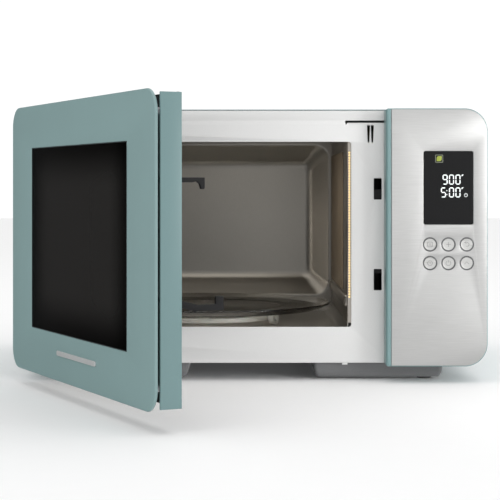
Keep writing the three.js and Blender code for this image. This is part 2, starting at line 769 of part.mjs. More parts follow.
/** The lower hook: it dips to a level bar whose tooth points up. */
function lowerHook() {
  const barTop = lowerSlotZ - 0.7;
  const barBottom = lowerSlotZ - 6.3;
  const tooth = lowerSlotZ + 6.3;
  const side = polygon([[hookPivotY, lowerPivotZ - 3], [lowerReach - 28, barBottom], [lowerReach, barBottom],
    [lowerReach, tooth - 4], [lowerReach - 4, tooth], [lowerReach - 6.5, tooth], [lowerReach - 7.5, tooth - 1],
    [lowerReach - 7.5, barTop], [lowerReach - 25, barTop], [hookPivotY, lowerPivotZ + 3]]);
  return latchHook(side, lowerPivotZ);
}

/** A hook's bar joined to its hub and bored for its pin. */
function latchHook(side, pivotZ) {
  const centre = [0, hookPivotY, pivotZ];
  const hub = bar("x", centre, hookHub, hookX, 16);
  const bore = bar("x", centre, hookPivotRadius + 0.4, [hookX[0] - 1, hookX[1] + 1], 12);
  return cut(join(slab("yz", side, hookX), hub), bore);
}

/** The spring that draws the two hooks together. */
function latchSpring() {
  const springY = hookPivotY + 6.2;
  const coilRadius = 2.4;
  const ends = [lowerSlotZ + 10, upperSlotZ + 5];
  const coil = bar("z", [slotX - 1.9, springY, 0], coilRadius, [ends[0] + 8, ends[1] - 8], 10);
  const loops = bar("z", [slotX - 1.9, springY, 0], 0.7, ends, 6);
  return join(coil, loops);
}

const channelX = [slotX - 5, slotX + 5];
const boardX = [slotX - 8, slotX + 10];
const boardY = [cavityFront, cavityFront + 46.5];

/** The latch board behind the slots: a channel for each hook, with the catch it drops behind. */
function latchBoard() {
  const body = block(boardX, boardY, [lowerSlotZ - 20, upperSlotZ + 24]);
  const inside = [boardY[0] - 1, lowerReach + 2.5];
  const upperChannel = block(channelX, inside, [upperSlotZ - 0.6, upperSlotZ + 15]);
  const upperPocket = block(channelX, [upperReach - 7, upperReach + 6], [upperSlotZ - 8, upperSlotZ]);
  const lowerChannel = block(channelX, inside, [lowerSlotZ - 14, lowerSlotZ + 7]);
  const lowerPocket = block(channelX, [lowerReach - 9, lowerReach + 2.5], [lowerSlotZ, lowerSlotZ + 14]);
  const lightening = block(
    [boardX[0] + 3, boardX[1] + 1], [boardY[0] - 1, boardY[1] - 3], [lowerSlotZ + 24, upperSlotZ - 18]);
  return cut(body, upperChannel, upperPocket, lowerChannel, lowerPocket, lightening);
}

/** A door switch screwed to the latch board, with its lever. */
function doorSwitch(level) {
  const across = [boardX[1] + gap, boardX[1] + gap + 10];
  const shell = block(across, [boardY[0] + 8, boardY[0] + 36], [level - 8, level + 8]);
  const lever = block([across[0] + 3, across[0] + 7], [boardY[0] + 10, boardY[0] + 34], [level + 7, level + 10]);
  return join(shell, lever);
}

// ---------------------------------------------------------------- hinges

const bracketBoss = 8;

/** A hinge bracket: a plate behind the front frame, an arm through it and the pin the door hangs on. */
function hingeBracket(level) {
  const behind = frontDepth + frameSheet + gap;
  const armZ = [level - hingeArmThickness / 2, level + hingeArmThickness / 2];
  const reach = hingeEndDistance - bracketEndClearance;
  const plate = block([hingeX - 2.5, cavityLeft - wallStep - sideFlange - 1], [behind, behind + 2],
    [level - reach, level + reach]);
  const arm = block([hingeX - hingeArmWidth / 2, hingeX + hingeArmWidth / 2], [hingeY, behind + 1], armZ);
  const eye = bar("z", [hingeX, hingeY, 0], hingeArmWidth / 2, armZ, 12);
  const pin = bar("z", [hingeX, hingeY, 0], hingePinRadius,
    [level - hingeArmThickness - bracketBoss, level + hingeArmThickness + bracketBoss], 12);
  return join(plate, arm, eye, pin);
}

// ---------------------------------------------------------------- door, laid out closed

const windowMarginX = 67;
const windowLow = bottom + 48;
const windowHigh = top - 45;
const webFront = glassThickness + gap;
const webRear = webFront + webThickness;
const grooveRear = webFront + 1.5;
const grooveInset = 2;
const freeCorner = 3;
const windowX = [doorLeft + windowMarginX, doorRight - windowMarginX + 1.1];
const armNotch = hingeArmThickness / 2 + 1.5;

/** The painted glass front of the door, its edge rounded by a double chamfer. */
function doorGlass() {
  const edge = 1.4;
  const shape = new THREE.Shape(
    outline([doorLeft + edge, doorRight - edge], [bottom + edge, top - edge], doorCorner - edge));
  const geometry = new THREE.ExtrudeGeometry(shape, {
    depth: glassThickness - edge,
    bevelSize: edge,
    bevelThickness: edge,
    bevelSegments: 2,
  });
  geometry.applyMatrix4(planes.xz);
  geometry.translate(0, glassThickness, 0);
  const backTrim = block([doorLeft - 5, doorRight + 5], [glassThickness, glassThickness + 5], [bottom - 5, top + 5]);
  return cut(toSolid(geometry), backTrim);
}

/** The plain badge on the glass below the window. */
function doorBadge() {
  const centreX = (doorLeft + doorRight) / 2 + 3;
  const centreZ = bottom + 28.5;
  const [half, halfHeight] = [55, 2.5];
  return slab(
    "xz",
    outline([centreX - half, centreX + half], [centreZ - halfHeight, centreZ + halfHeight],
      halfHeight - 0.1, 4),
    [-gap - 1, -gap]);
}

/** The door's moulded frame: a web behind the glass, skins on three sides and the hinge bosses. */
function doorFrame() {
  const corners = [doorCorner - 1, freeCorner, freeCorner, doorCorner - 1];
  const neck = slab(
    "xz",
    outline([doorLeft + grooveInset, doorRight - grooveInset], [bottom + grooveInset, top - grooveInset],
      doorCorner - grooveInset),
    [webFront, webRear]);
  const shell = slab("xz", outline([doorLeft, doorRight], [bottom, top], corners), [grooveRear, doorSkinDepth]);
  const hollow = slab(
    "xz",
    outline([doorLeft + doorSkin, doorRight + 5], [bottom + doorSkin, top - doorSkin],
      [doorCorner - doorSkin, 0, 0, doorCorner - doorSkin]),
    [webRear, doorSkinDepth + 1]);
  const view = block([windowX[0] - 5, windowX[1] + 5], [webFront - 1, webRear + 1], [windowLow - 5, windowHigh + 5]);
  const bosses = Object.values(hingeLevels).flatMap((level) =>
    [-1, 1].map((side) => {
      const near = level + side * (hingeArmThickness / 2 + 2);
      const far = near + side * bracketBoss;
      const upright = [Math.min(near, far), Math.max(near, far)];
      return block([doorLeft + 1, hingeX + 6], [webFront + 1, hingeY + 6], upright);
    }));
  const bores = Object.values(hingeLevels).map((level) =>
    bar("z", [hingeX, hingeY, 0], hingePinRadius + 0.4,
      [level - hingeArmThickness - bracketBoss - 3, level + hingeArmThickness + bracketBoss + 3], 16));
  const notches = Object.values(hingeLevels).map((level) =>
    block([doorLeft - 1, hingeX + hingeArmWidth / 2 + 1.5], [webFront - 1, doorSkinDepth + 1],
      [level - armNotch, level + armNotch]));
  return cut(join(cut(join(neck, shell), hollow, view), ...bosses), ...bores, ...notches);
}

/** The cap that closes the door's free edge and carries the hooks' pins. */
function doorSideCap() {
  const across = [doorRight - doorSkin + 0.2, doorRight - 0.2];
  const strip = block(across, [webRear + gap, doorDepth], [bottom + doorSkin + gap, top - doorSkin - gap]);
  const pins = [upperPivotZ, lowerPivotZ].map((z) =>
    bar("x", [0, hookPivotY, z], hookPivotRadius, [hookX[0] - 1.4, across[0] + 1], 10));
  return join(strip, ...pins);
}

const chokeX = [doorLeft + 15.5, doorRight - 17.4];
const chokeZ = [bottom + 16, top - 16];
const chokeHoleX = [windowX[0] - 9, windowX[1] + 9];
const chokeHoleZ = [windowLow - 8, windowHigh + 8];
const chokeY = [webRear + 2.7, doorSkinDepth - 0.5];

/** The steel choke frame: a channel round the window, open towards the oven. */
function chokeFrame() {
  const ring = slab("xz", outline(chokeX, chokeZ, 6, 2), chokeY, [outline(chokeHoleX, chokeHoleZ)]);
  const channel = slab(
    "xz", outline([chokeX[0] + sheet, chokeX[1] - sheet], [chokeZ[0] + sheet, chokeZ[1] - sheet], 5, 2),
    [chokeY[0] + sheet, chokeY[1] + 1],
    [outline([chokeHoleX[0] - sheet, chokeHoleX[1] + sheet], [chokeHoleZ[0] - sheet, chokeHoleZ[1] + sheet])]);
  return cut(ring, channel);
}

/** A sheet that fits inside the choke frame's window. */
function windowSheet([front, rear]) {
  return block(
    [chokeHoleX[0] + gap, chokeHoleX[1] - gap], [front, rear], [chokeHoleZ[0] + gap, chokeHoleZ[1] - gap]);
}

const coverX = [doorLeft + 4.6, doorRight - doorSkin - 0.1];
const coverY = [doorSkinDepth + gap, doorDepth];

/** The inner cover over the choke, slotted for the hooks and notched for the hinge arms. */
function innerCover() {
  const hingeCorner = doorCorner - doorSkin;
  const edge = outline(coverX, [bottom + doorSkin + gap, top - doorSkin - gap], [hingeCorner, 0, 0, hingeCorner]);
  const view = outline([windowX[0] - 3, windowX[1] + 3], [windowLow - 3, windowHigh + 3], 4, 3);
  const plate = slab("xz", edge, coverY, [view]);
  const through = [coverY[0] - 1, coverY[1] + 1];
  const hookSlots = [[upperSlotZ + 3.5, upperSlotZ + 13], [lowerSlotZ - 6, lowerSlotZ + 9.5]].map((upright) =>
    block([hookX[0] - 0.7, hookX[1] + 0.7], through, upright));
  const notches = Object.values(hingeLevels).map((level) =>
    block([doorLeft, hingeX + hingeArmWidth / 2 + 1.5], through, [level - armNotch, level + armNotch]));
  return cut(plate, ...hookSlots, ...notches);
}

// ---------------------------------------------------------------- control panel

const fasciaLeft = panelLeft + 5.9;
const fasciaThickness = 1;
const fasciaInset = 1;
const housingWall = 2.5;
const housingFace = fasciaThickness + gap;
const housingInner = housingFace + 2.7;
const displayX = [bodyWidth - displayRightMargin - displayWidth, bodyWidth - displayRightMargin];
const displayZ = [top - displayTopMargin - displayHeight, top - displayTopMargin];
const boardFrontY = 12.6;
const buttonCollar = 1.5;
const buttonPlaces = {};
const buttonNames = [
  ["button_defrost", "button_plus", "button_back"],
  ["button_clock", "button_power", "button_cancel"],
];
buttonNames.forEach((row, rowIndex) =>
  row.forEach((name, column) => {
    buttonPlaces[name] = [
      bodyWidth - buttonRightMargin - (2 - column) * buttonPitchX,
      displayZ[0] - buttonDrop - rowIndex * buttonPitchZ,
    ];
  }));

/** The cuts for the display and the buttons, widened by `extra` all round. */
function panelCuts(through, extra) {
  const display = slab(
    "xz",
    outline([displayX[0] - extra, displayX[1] + extra], [displayZ[0] - extra, displayZ[1] + extra], 2, 2),
    through);
  const holes = Object.values(buttonPlaces).map(([x, z]) =>
    bar("y", [x, 0, z], buttonRadius + buttonGap, through, 20));
  return [display, ...holes];
}

const noseRadius = 2.7;

/** The panel's moulded housing: a tray open at the back, its left border standing up beside the fascia. */
function panelHousing() {
  const edge = outline([panelLeft, bodyWidth], [bottom, top], [3, bodyCorner, bodyCorner, 3]);
  const tray = slab("xz", edge, [housingFace, frontDepth - gap]);
  const border = slab(
    "xy",
    [...arc(panelLeft + noseRadius, noseRadius, noseRadius, 180, 270, 4), ...polygon([[fasciaLeft - 0.5, 0],
      [fasciaLeft - 0.5, noseRadius + 1], [panelLeft, noseRadius + 1]])],
    [bottom + 3, top - 3]);
  const roundingTool = cut(
    block([panelLeft - 1, panelLeft + noseRadius], [0, noseRadius], [bottom - 1, top + 1]),
    bar("z", [panelLeft + noseRadius, noseRadius, 0], noseRadius, [bottom - 2, top + 2], 16));
  const hollow = slab(
    "xz",
    outline([panelLeft + housingWall, bodyWidth - housingWall], [bottom + housingWall, top - housingWall],
      [2, bodyCorner - housingWall, bodyCorner - housingWall, 2]),
    [housingInner, frontDepth + 1]);
  return cut(join(tray, border), roundingTool, hollow, ...panelCuts([-1, housingInner + 1], gap));
}

/** The brushed steel fascia. */
function panelFascia() {
  const corner = bodyCorner - fasciaInset;
  const plate = slab(
    "xz",
    outline([fasciaLeft, bodyWidth - fasciaInset], [bottom + fasciaInset, top - fasciaInset],
      [0, corner, corner, 0]),
    [0, fasciaThickness]);
  return cut(plate, ...panelCuts([-1, fasciaThickness + 1], gap));
}

/** The black display window, set flush in the fascia. */
function displayWindow() {
  return slab("xz", outline(displayX, displayZ, 2, 2), [0, housingInner - gap]);
}

/** One push button with the collar that keeps it behind the fascia and the stem to its switch. */
function button(x, z) {
  const collar = housingInner + gap;
  const profile = [
    [0, 0],
    [buttonRadius - 0.4, 0],
    [buttonRadius, 0.4],
    [buttonRadius, collar],
    [buttonRadius + buttonCollar, collar],
    [buttonRadius + buttonCollar, collar + 1.2],
    [2.5, collar + 1.2],
    [2.5, boardFrontY - buttonTravel - gap - 0.2],
    [0, boardFrontY - buttonTravel - gap - 0.2],
  ];
  return turned("y", [x, 0, z], profile, 16);
}

/** The control board with the display module, the relays and the sounder. */
function controlBoard() {
  const across = [panelLeft + 8, bodyWidth - 8];
  const rear = boardFrontY + 1.6;
  const board = block(across, [boardFrontY, rear], [buttonPlaces.button_clock[1] - 40, displayZ[1] + 6]);
  const module = block([displayX[0] + 2, displayX[1] - 2], [housingInner + 1, boardFrontY + 0.5],
    [displayZ[0] + 2, displayZ[1] - 2]);
  const relays = [0, 24, 48].map((step) =>
    block([across[0] + 8 + step, across[0] + 26 + step], [rear - 0.5, rear + 9],
      [displayZ[0] - 20, displayZ[0] - 6]));
  const sounder = bar("y", [across[1] - 16, 0, displayZ[1] - 20], 7, [rear - 0.5, rear + 7], 12);
  return join(board, module, ...relays, sounder);
}

// ---------------------------------------------------------------- assembly

const oven = new THREE.Group();

part(oven, "outer_casing", outerCasing(), "teal");
part(oven, "rear_panel", rearPanel(), "zinc");
part(oven, "cord_gland", cordGland(), "black");
part(oven, "base_pan", basePan(), "darkGrey");
for (const [name, [x, y]] of Object.entries(feet)) {
  part(oven, name, foot(x, y), "rubber");
}
part(oven, "front_frame", frontFrame(), "frameWhite");

part(oven, "cavity_floor", cavityFloorPan(), "cavitySteel");
part(oven, "cavity_side_left", cavitySideLeft(), "cavitySteel");
part(oven, "cavity_side_right", cavitySideRight(), "cavitySteel");
part(oven, "cavity_ceiling", cavityCeiling(), "cavitySteel");
part(oven, "cavity_back", cavityBack(), "cavitySteel");
part(oven, "waveguide_cover", waveguideCover(), "mica");

part(oven, "glass_plate", glassPlate(), "glass");
part(oven, "turntable_coupler", coupler(), "whitePlastic");
part(oven, "turntable_motor", turntableMotor(), "zinc");
part(oven, "roller_ring", rollerRing(), "whitePlastic");
rollerAngles().forEach((degrees, index) => {
  part(oven, "roller_" + (index + 1), roller(degrees), "whitePlastic");
});

part(oven, "waveguide", waveguide(), "zinc");
part(oven, "magnetron", magnetron(), "zinc");
part(oven, "high_voltage_transformer", transformer(), "darkGrey");
part(oven, "high_voltage_capacitor", capacitor(), "zinc");
part(oven, "fan_shroud", fanShroud(), "whitePlastic");
part(oven, "fan_motor", fanMotor(), "zinc");
part(oven, "fan_blade", fanBlade(), "whitePlastic");
part(oven, "oven_lamp", ovenLamp(), "glass");
part(oven, "lamp_holder", lampHolder(), "whitePlastic");
part(oven, "mains_filter_board", filterBoard(), "circuit");

part(oven, "latch_board", latchBoard(), "black");
part(oven, "door_switch_upper", doorSwitch(upperSlotZ), "black");
part(oven, "door_switch_lower", doorSwitch(lowerSlotZ), "black");
part(oven, "hinge_bracket_upper", hingeBracket(hingeLevels.upper), "zinc");
part(oven, "hinge_bracket_lower", hingeBracket(hingeLevels.lower), "zinc");

part(oven, "panel_housing", panelHousing(), "teal");
part(oven, "panel_fascia", panelFascia(), "brushed");
part(oven, "display_window", displayWindow(), "black");
part(oven, "control_board", controlBoard(), "circuit");
for (const [name, [x, z]] of Object.entries(buttonPlaces)) {
  part(oven, name, button(x, z), "brushed");
}

// The door turns about the hinge pins, so its pieces hang in a group placed there.
const door = new THREE.Group();
door.position.set(-hingeX, -hingeY, 0);
const doorHinge = new THREE.Group();
doorHinge.position.set(hingeX, hingeY, 0);
doorHinge.rotation.z = -THREE.MathUtils.degToRad(doorOpenAngle);
doorHinge.add(door);
oven.add(doorHinge);

part(door, "door_glass", doorGlass(), "teal");
part(door, "door_badge", doorBadge(), "chrome");
part(door, "door_frame", doorFrame(), "teal");
part(door, "door_side_cap", doorSideCap(), "teal");
part(door, "door_choke_frame", chokeFrame(), "zinc");
part(door, "door_screen", windowSheet([chokeY[0] + 0.2, chokeY[0] + 0.2 + sheet]), "black");
part(door, "door_inner_window", windowSheet([chokeY[1] - 1.6, chokeY[1]]), "glass");
part(door, "door_inner_cover", innerCover(), "black");
part(door, "latch_hook_upper", upperHook(), "black");
part(door, "latch_hook_lower", lowerHook(), "black");
part(door, "latch_spring", latchSpring(), "zinc");

// The origin is the middle of the space the oven takes up with its door as it stands, on the worktop.
const extent = new THREE.Box3().setFromObject(oven, true);
const middle = extent.getCenter(new THREE.Vector3());
oven.position.set(-middle.x, -middle.y, -extent.min.z);

const microwaveOven = new THREE.Group();
microwaveOven.name = "microwave_oven";
microwaveOven.add(oven);

export default microwaveOven;
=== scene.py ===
import json
import math

import bmesh
import bpy
from mathutils import Matrix, Vector


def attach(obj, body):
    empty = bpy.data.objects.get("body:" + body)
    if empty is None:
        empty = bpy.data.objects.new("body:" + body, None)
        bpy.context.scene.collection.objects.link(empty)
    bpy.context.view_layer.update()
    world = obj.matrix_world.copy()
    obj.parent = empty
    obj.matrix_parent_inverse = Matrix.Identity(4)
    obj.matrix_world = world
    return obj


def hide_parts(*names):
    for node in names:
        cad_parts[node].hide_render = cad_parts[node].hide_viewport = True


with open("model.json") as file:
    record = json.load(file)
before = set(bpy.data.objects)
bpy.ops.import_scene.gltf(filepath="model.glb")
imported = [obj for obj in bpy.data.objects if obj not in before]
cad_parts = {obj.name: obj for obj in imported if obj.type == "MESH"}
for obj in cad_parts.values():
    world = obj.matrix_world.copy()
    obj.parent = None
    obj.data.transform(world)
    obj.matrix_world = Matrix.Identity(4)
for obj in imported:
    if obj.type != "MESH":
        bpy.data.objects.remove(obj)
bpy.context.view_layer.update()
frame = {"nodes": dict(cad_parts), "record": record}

# A countertop microwave oven, dressed around its CAD frame. Metres; +X right, +Y back, +Z up.
# Places come from the CAD nodes; mm is the only conversion of small sizes.

mm = 0.001
scene = bpy.context.scene


# ---------------------------------------------------------------- places from the frame


class Place:
    """A CAD node's box at rest, or, for a piece of the door, its box with the door closed."""

    def __init__(self, node, undo=None):
        points = [v.co if undo is None else undo @ v.co for v in frame["nodes"][node].data.vertices]
        self.low = Vector([min(p[i] for p in points) for i in range(3)])
        self.high = Vector([max(p[i] for p in points) for i in range(3)])
        self.mid = (self.low + self.high) / 2


door_hinge = next(j for j in frame["record"]["behaviour"]["joints"] if j["name"] == "door_hinge")
hinge_point = Vector(door_hinge["pos_m"])
notch_half = 3 * mm
notch_reach = 5 * mm
# Turns a piece laid out with the door closed to where the door stands at rest.
door_swing = (
    Matrix.Translation(hinge_point)
    @ Matrix.Rotation(math.radians(-door_hinge["range_deg"][0]), 4, Vector(door_hinge["axis"]))
    @ Matrix.Translation(-hinge_point)
)
door_unswing = door_swing.inverted()


def place(node):
    return Place(node)


def door_place(node):
    return Place(node, door_unswing)


def front_box(spot):
    """A place's left, right, low and high, as seen from the front."""
    return spot.low.x, spot.high.x, spot.low.z, spot.high.z


# ---------------------------------------------------------------- mesh helpers


def arc(u, v, radius, start, stop, steps):
    """Points along an arc, both ends included, angles in degrees."""
    points = []
    for i in range(steps + 1):
        angle = math.radians(start + (stop - start) * i / steps)
        points.append((u + radius * math.cos(angle), v + radius * math.sin(angle)))
    return points


def rounded(u0, u1, v0, v1, radii=0.0, steps=8):
    """A rectangle's outline, counter-clockwise; radii from the low-low corner round, or one for all."""
    if not isinstance(radii, (list, tuple)):
        radii = [radii] * 4
    corners = [
        (u0 + radii[0], v0 + radii[0], 180),
        (u1 - radii[1], v0 + radii[1], 270),
        (u1 - radii[2], v1 - radii[2], 0),
        (u0 + radii[3], v1 - radii[3], 90),
    ]
    points = []
    for (u, v, start), radius in zip(corners, radii):
        points += arc(u, v, radius, start, start + 90, steps) if radius > 0 else [(u, v)]
    return points


def ring(u, v, radius, steps=32):
    return arc(u, v, radius, 0, 360, steps)[:-1]


PLANES = {
    "xy": Matrix(((1, 0, 0, 0), (0, 1, 0, 0), (0, 0, 1, 0), (0, 0, 0, 1))),
    "xz": Matrix(((1, 0, 0, 0), (0, 0, -1, 0), (0, 1, 0, 0), (0, 0, 0, 1))),
    "yz": Matrix(((0, 0, 1, 0), (1, 0, 0, 0), (0, 1, 0, 0), (0, 0, 0, 1))),
}
DEPTH_AXIS = {"xy": Vector((0, 0, 1)), "xz": Vector((0, 1, 0)), "yz": Vector((1, 0, 0))}


def smooth_by_angle(mesh, degrees=35):
    """Smooth shading everywhere but across edges sharper than the angle."""
    work = bmesh.new()
    work.from_mesh(mesh)
    limit = math.radians(degrees)
    for face in work.faces:
        face.smooth = True
    for edge in work.edges:
        edge.smooth = len(edge.link_faces) == 2 and edge.calc_face_angle(0) < limit
    work.to_mesh(mesh)
    work.free()


def finish_mesh(name, work, merge=2e-6, degrees=35):
    """Welds and orients a bmesh, and links it as an object."""
    bmesh.ops.remove_doubles(work, verts=work.verts, dist=merge)
    bmesh.ops.dissolve_degenerate(work, edges=work.edges, dist=merge / 2)
    bmesh.ops.recalc_face_normals(work, faces=work.faces)
    mesh = bpy.data.meshes.new(name)
    work.to_mesh(mesh)
    work.free()
    smooth_by_angle(mesh, degrees)
    piece = bpy.data.objects.new(name, mesh)
    scene.collection.objects.link(piece)
    return piece


def plate(name, outline, holes, plane, low, high, bevel=0.3 * mm, steps=2):
    """A flat piece with holes, between two depths, every edge rounded. It is filled in millimetres."""
    curve = bpy.data.curves.new(name, "CURVE")
    curve.dimensions = "2D"
    curve.fill_mode = "BOTH"
    bevel = min(bevel, (high - low) * 0.45)
    curve.extrude = ((high - low) / 2 - bevel) / mm
    curve.bevel_depth = bevel / mm
    curve.bevel_resolution = steps
    curve.offset = -bevel / mm
    for loop in [outline] + [reversed(hole) for hole in holes]:
        add_line(curve, [(u, v, 0) for u, v in loop], True)
    shift = Matrix.Translation(DEPTH_AXIS[plane] * (low + high) / 2)
    return curve_piece(name, curve, shift @ PLANES[plane])


def add_line(curve, points, cyclic):
    """A straight-sided line through points, drawn in millimetres."""
    spline = curve.splines.new("POLY")
    spline.points.add(len(points) - 1)
    for point, (x, y, z) in zip(spline.points, points):
        point.co = (x / mm, y / mm, z / mm, 1)
    spline.use_cyclic_u = cyclic


def curve_piece(name, curve, matrix):
    """A curve drawn in millimetres, as a piece."""
    holder = bpy.data.objects.new(name, curve)
    scene.collection.objects.link(holder)
    evaluated = holder.evaluated_get(bpy.context.evaluated_depsgraph_get())
    mesh = bpy.data.meshes.new_from_object(evaluated)
    bpy.data.objects.remove(holder)
    bpy.data.curves.remove(curve)
    work = bmesh.new()
    work.from_mesh(mesh)
    bpy.data.meshes.remove(mesh)
    bmesh.ops.transform(work, matrix=matrix @ Matrix.Scale(mm, 4), verts=work.verts)
    return finish_mesh(name, work)


def turned(name, profile, axis, centre, steps=64, degrees=35):
    """A turned piece: (radius, distance along the axis) pairs, closed on the axis or on themselves."""
    to_axis = {
        "x": Matrix(((0, 0, 1, 0), (1, 0, 0, 0), (0, 1, 0, 0), (0, 0, 0, 1))),
        "y": Matrix(((0, 1, 0, 0), (0, 0, 1, 0), (1, 0, 0, 0), (0, 0, 0, 1))),
        "z": Matrix.Identity(4),
    }[axis]
    work = bmesh.new()
    rows = []
    for radius, along in profile:
        if radius < 1e-7:
            rows.append([work.verts.new((0, 0, along))] * steps)
            continue
        row = []
        for i in range(steps):
            angle = 2 * math.pi * i / steps
            row.append(work.verts.new((radius * math.cos(angle), radius * math.sin(angle), along)))
        rows.append(row)
    for low, high in zip(rows, rows[1:]):
        for i in range(steps):
            k = (i + 1) % steps
            corners = [low[i], low[k], high[k], high[i]]
            unique = list(dict.fromkeys(corners))
            if len(unique) > 2:
                work.faces.new(unique)
    bmesh.ops.transform(work, matrix=Matrix.Translation(centre) @ to_axis, verts=work.verts)
    return finish_mesh(name, work, degrees=degrees)


def soften(profile, radius, steps=3):
    """A profile with each inner corner replaced by a small arc-like curve."""
    points = [Vector(p) for p in profile]
    result = [tuple(points[0])]
    for before, corner, after in zip(points, points[1:], points[2:]):
        reach = min(radius, (before - corner).length * 0.45, (after - corner).length * 0.45)
        start = corner + (before - corner).normalized() * reach
        stop = corner + (after - corner).normalized() * reach
        for i in range(steps + 1):
            t = i / steps
            result.append(tuple(start * (1 - t) ** 2 + corner * 2 * t * (1 - t) + stop * t * t))
    result.append(tuple(points[-1]))
    return result


def soften_loop(loop, radius, steps=3):
    """A closed outline with every corner rounded."""
    return soften([loop[-1]] + list(loop) + [loop[0]], radius, steps)[1:-1]


def loft(name, rings, closed=True, caps=(False, False), degrees=35):
    """A skin through rings of points; each ring closes on itself when closed is true."""
    work = bmesh.new()
    rows = [[work.verts.new(p) for p in one] for one in rings]
    count = len(rows[0])
    last = count if closed else count - 1
    for low, high in zip(rows, rows[1:]):
        for i in range(last):
            k = (i + 1) % count
            work.faces.new([low[i], low[k], high[k], high[i]])
    for wanted, row in zip(caps, (rows[0], rows[-1])):
        if wanted:
            work.faces.new(row)
    return finish_mesh(name, work, degrees=degrees)


def thicken(piece, thickness, offset=-1.0):
    """Gives a skin its sheet thickness."""
    solid = piece.modifiers.new("thickness", "SOLIDIFY")
    solid.thickness = thickness
    solid.offset = offset
    solid.use_even_offset = True
    apply_modifiers(piece)
    return piece


def apply_modifiers(piece):
    evaluated = piece.evaluated_get(bpy.context.evaluated_depsgraph_get())
    mesh = bpy.data.meshes.new_from_object(evaluated)
    old = piece.data
    piece.modifiers.clear()
    piece.data = mesh
    mesh.name = piece.name
    bpy.data.meshes.remove(old)
    smooth_by_angle(piece.data)


def block(name, low, high, bevel=0.5 * mm, steps=2):
    """A box with rounded edges between two corners."""
    low = Vector(low)
    high = Vector(high)
    work = bmesh.new()
    bmesh.ops.create_cube(work, size=1)
    size = high - low
    matrix = Matrix.Translation((low + high) / 2) @ Matrix.Diagonal((size.x, size.y, size.z, 1))
    bmesh.ops.transform(work, matrix=matrix, verts=work.verts)
    bevel = min(bevel, min(size) * 0.45)
    bmesh.ops.bevel(work, geom=work.edges, offset=bevel, segments=steps, affect="EDGES", profile=0.5)
    return finish_mesh(name, work)


def wire(name, points, radius, sides=3):
    """A round wire or bead along a line of points."""
    curve = bpy.data.curves.new(name, "CURVE")
    curve.dimensions = "3D"
    curve.bevel_depth = radius / mm
    curve.bevel_resolution = sides
    curve.use_fill_caps = True
    add_line(curve, points, False)
    return curve_piece(name, curve, Matrix.Identity(4))


def join(name, pieces):
    """Joins pieces into one object."""
    work = bmesh.new()
    for piece in pieces:
        work.from_mesh(piece.data)
        old = piece.data
        bpy.data.objects.remove(piece)
        bpy.data.meshes.remove(old)
    mesh = bpy.data.meshes.new(name)
    work.to_mesh(mesh)
    work.free()
    smooth_by_angle(mesh)
    joined = bpy.data.objects.new(name, mesh)
    scene.collection.objects.link(joined)
    return joined


# ---------------------------------------------------------------- materials


def srgb(red, green, blue):
    """A linear colour from screen values out of 255."""
    values = []
    for value in (red, green, blue):
        value /= 255
        values.append(value / 12.92 if value <= 0.04045 else ((value + 0.055) / 1.055) ** 2.4)
    return (*values, 1.0)


def ranged(tree, value, smooth=False, **limits):
    """A map range on a socket; from_min, to_max and the like set its ends."""
    node = tree.nodes.new("ShaderNodeMapRange")
    if smooth:
        node.interpolation_type = "SMOOTHSTEP"
    for name, number in limits.items():
        node.inputs[name.replace("_", " ").title()].default_value = number
    tree.links.new(value, node.inputs["Value"])
    return node.outputs["Result"]


def math_node(tree, operation, first, second=None):
    """A maths node on a socket and a second socket or number."""
    node = tree.nodes.new("ShaderNodeMath")
    node.operation = operation
    tree.links.new(first, node.inputs[0])
    if isinstance(second, (int, float)):
        node.inputs[1].default_value = second
    elif second is not None:
        tree.links.new(second, node.inputs[1])
    return node.outputs["Value"]


def noise(tree, vector, scale, detail):
    """A noise texture's strength along a vector socket."""
    node = tree.nodes.new("ShaderNodeTexNoise")
    node.inputs["Scale"].default_value = scale
    node.inputs["Detail"].default_value = detail
    tree.links.new(vector, node.inputs["Vector"])
    return node.outputs["Fac"]


def scale_colour(tree, factor):
    """A vector scale node that feeds the shader's colour; its first input takes the colour."""
    node = tree.nodes.new("ShaderNodeVectorMath")
    node.operation = "SCALE"
    tree.links.new(factor, node.inputs["Scale"])
    tree.links.new(node.outputs["Vector"], tree.nodes["Principled BSDF"].inputs["Base Color"])
    return node.inputs[0]


def surface(name, colour, roughness, metallic=0.0, grain=900, stretch=(1, 1, 1), bump=0.02,
            tint=0.04, rough_swing=0.05, detail=4, blotch=0.03, **sockets):
    """A finish: fine grain for bump and roughness, a broad soft variation for colour."""
    made = bpy.data.materials.new(name)
    made.use_nodes = True
    tree = made.node_tree
    nodes = tree.nodes
    links = tree.links
    shader = nodes["Principled BSDF"]
    shader.inputs["Metallic"].default_value = metallic
    for socket, value in sockets.items():
        shader.inputs[socket.replace("_", " ")].default_value = value
    spots = nodes.new("ShaderNodeTexCoord").outputs["Object"]
    mapping = nodes.new("ShaderNodeMapping")
    mapping.inputs["Scale"].default_value = stretch
    links.new(spots, mapping.inputs["Vector"])
    fine = noise(tree, mapping.outputs["Vector"], grain, detail)
    broad = noise(tree, spots, 9, 2)
    rough = ranged(tree, fine, to_min=max(0.0, roughness - rough_swing),
                   to_max=min(1.0, roughness + rough_swing))
    links.new(rough, shader.inputs["Roughness"])
    tinting = ranged(tree, fine, from_min=0.3, from_max=0.7, to_min=1 - tint, to_max=1 + tint)
    blotching = ranged(tree, broad, from_min=0.3, from_max=0.7, to_min=1 - blotch, to_max=1 + blotch)
    scale_colour(tree, math_node(tree, "MULTIPLY", tinting, blotching)).default_value = colour[:3]
    bumping = nodes.new("ShaderNodeBump")
    bumping.inputs["Strength"].default_value = 1.0
    bumping.inputs["Distance"].default_value = bump * mm
    links.new(fine, bumping.inputs["Height"])
    links.new(bumping.outputs["Normal"], shader.inputs["Normal"])
    return made


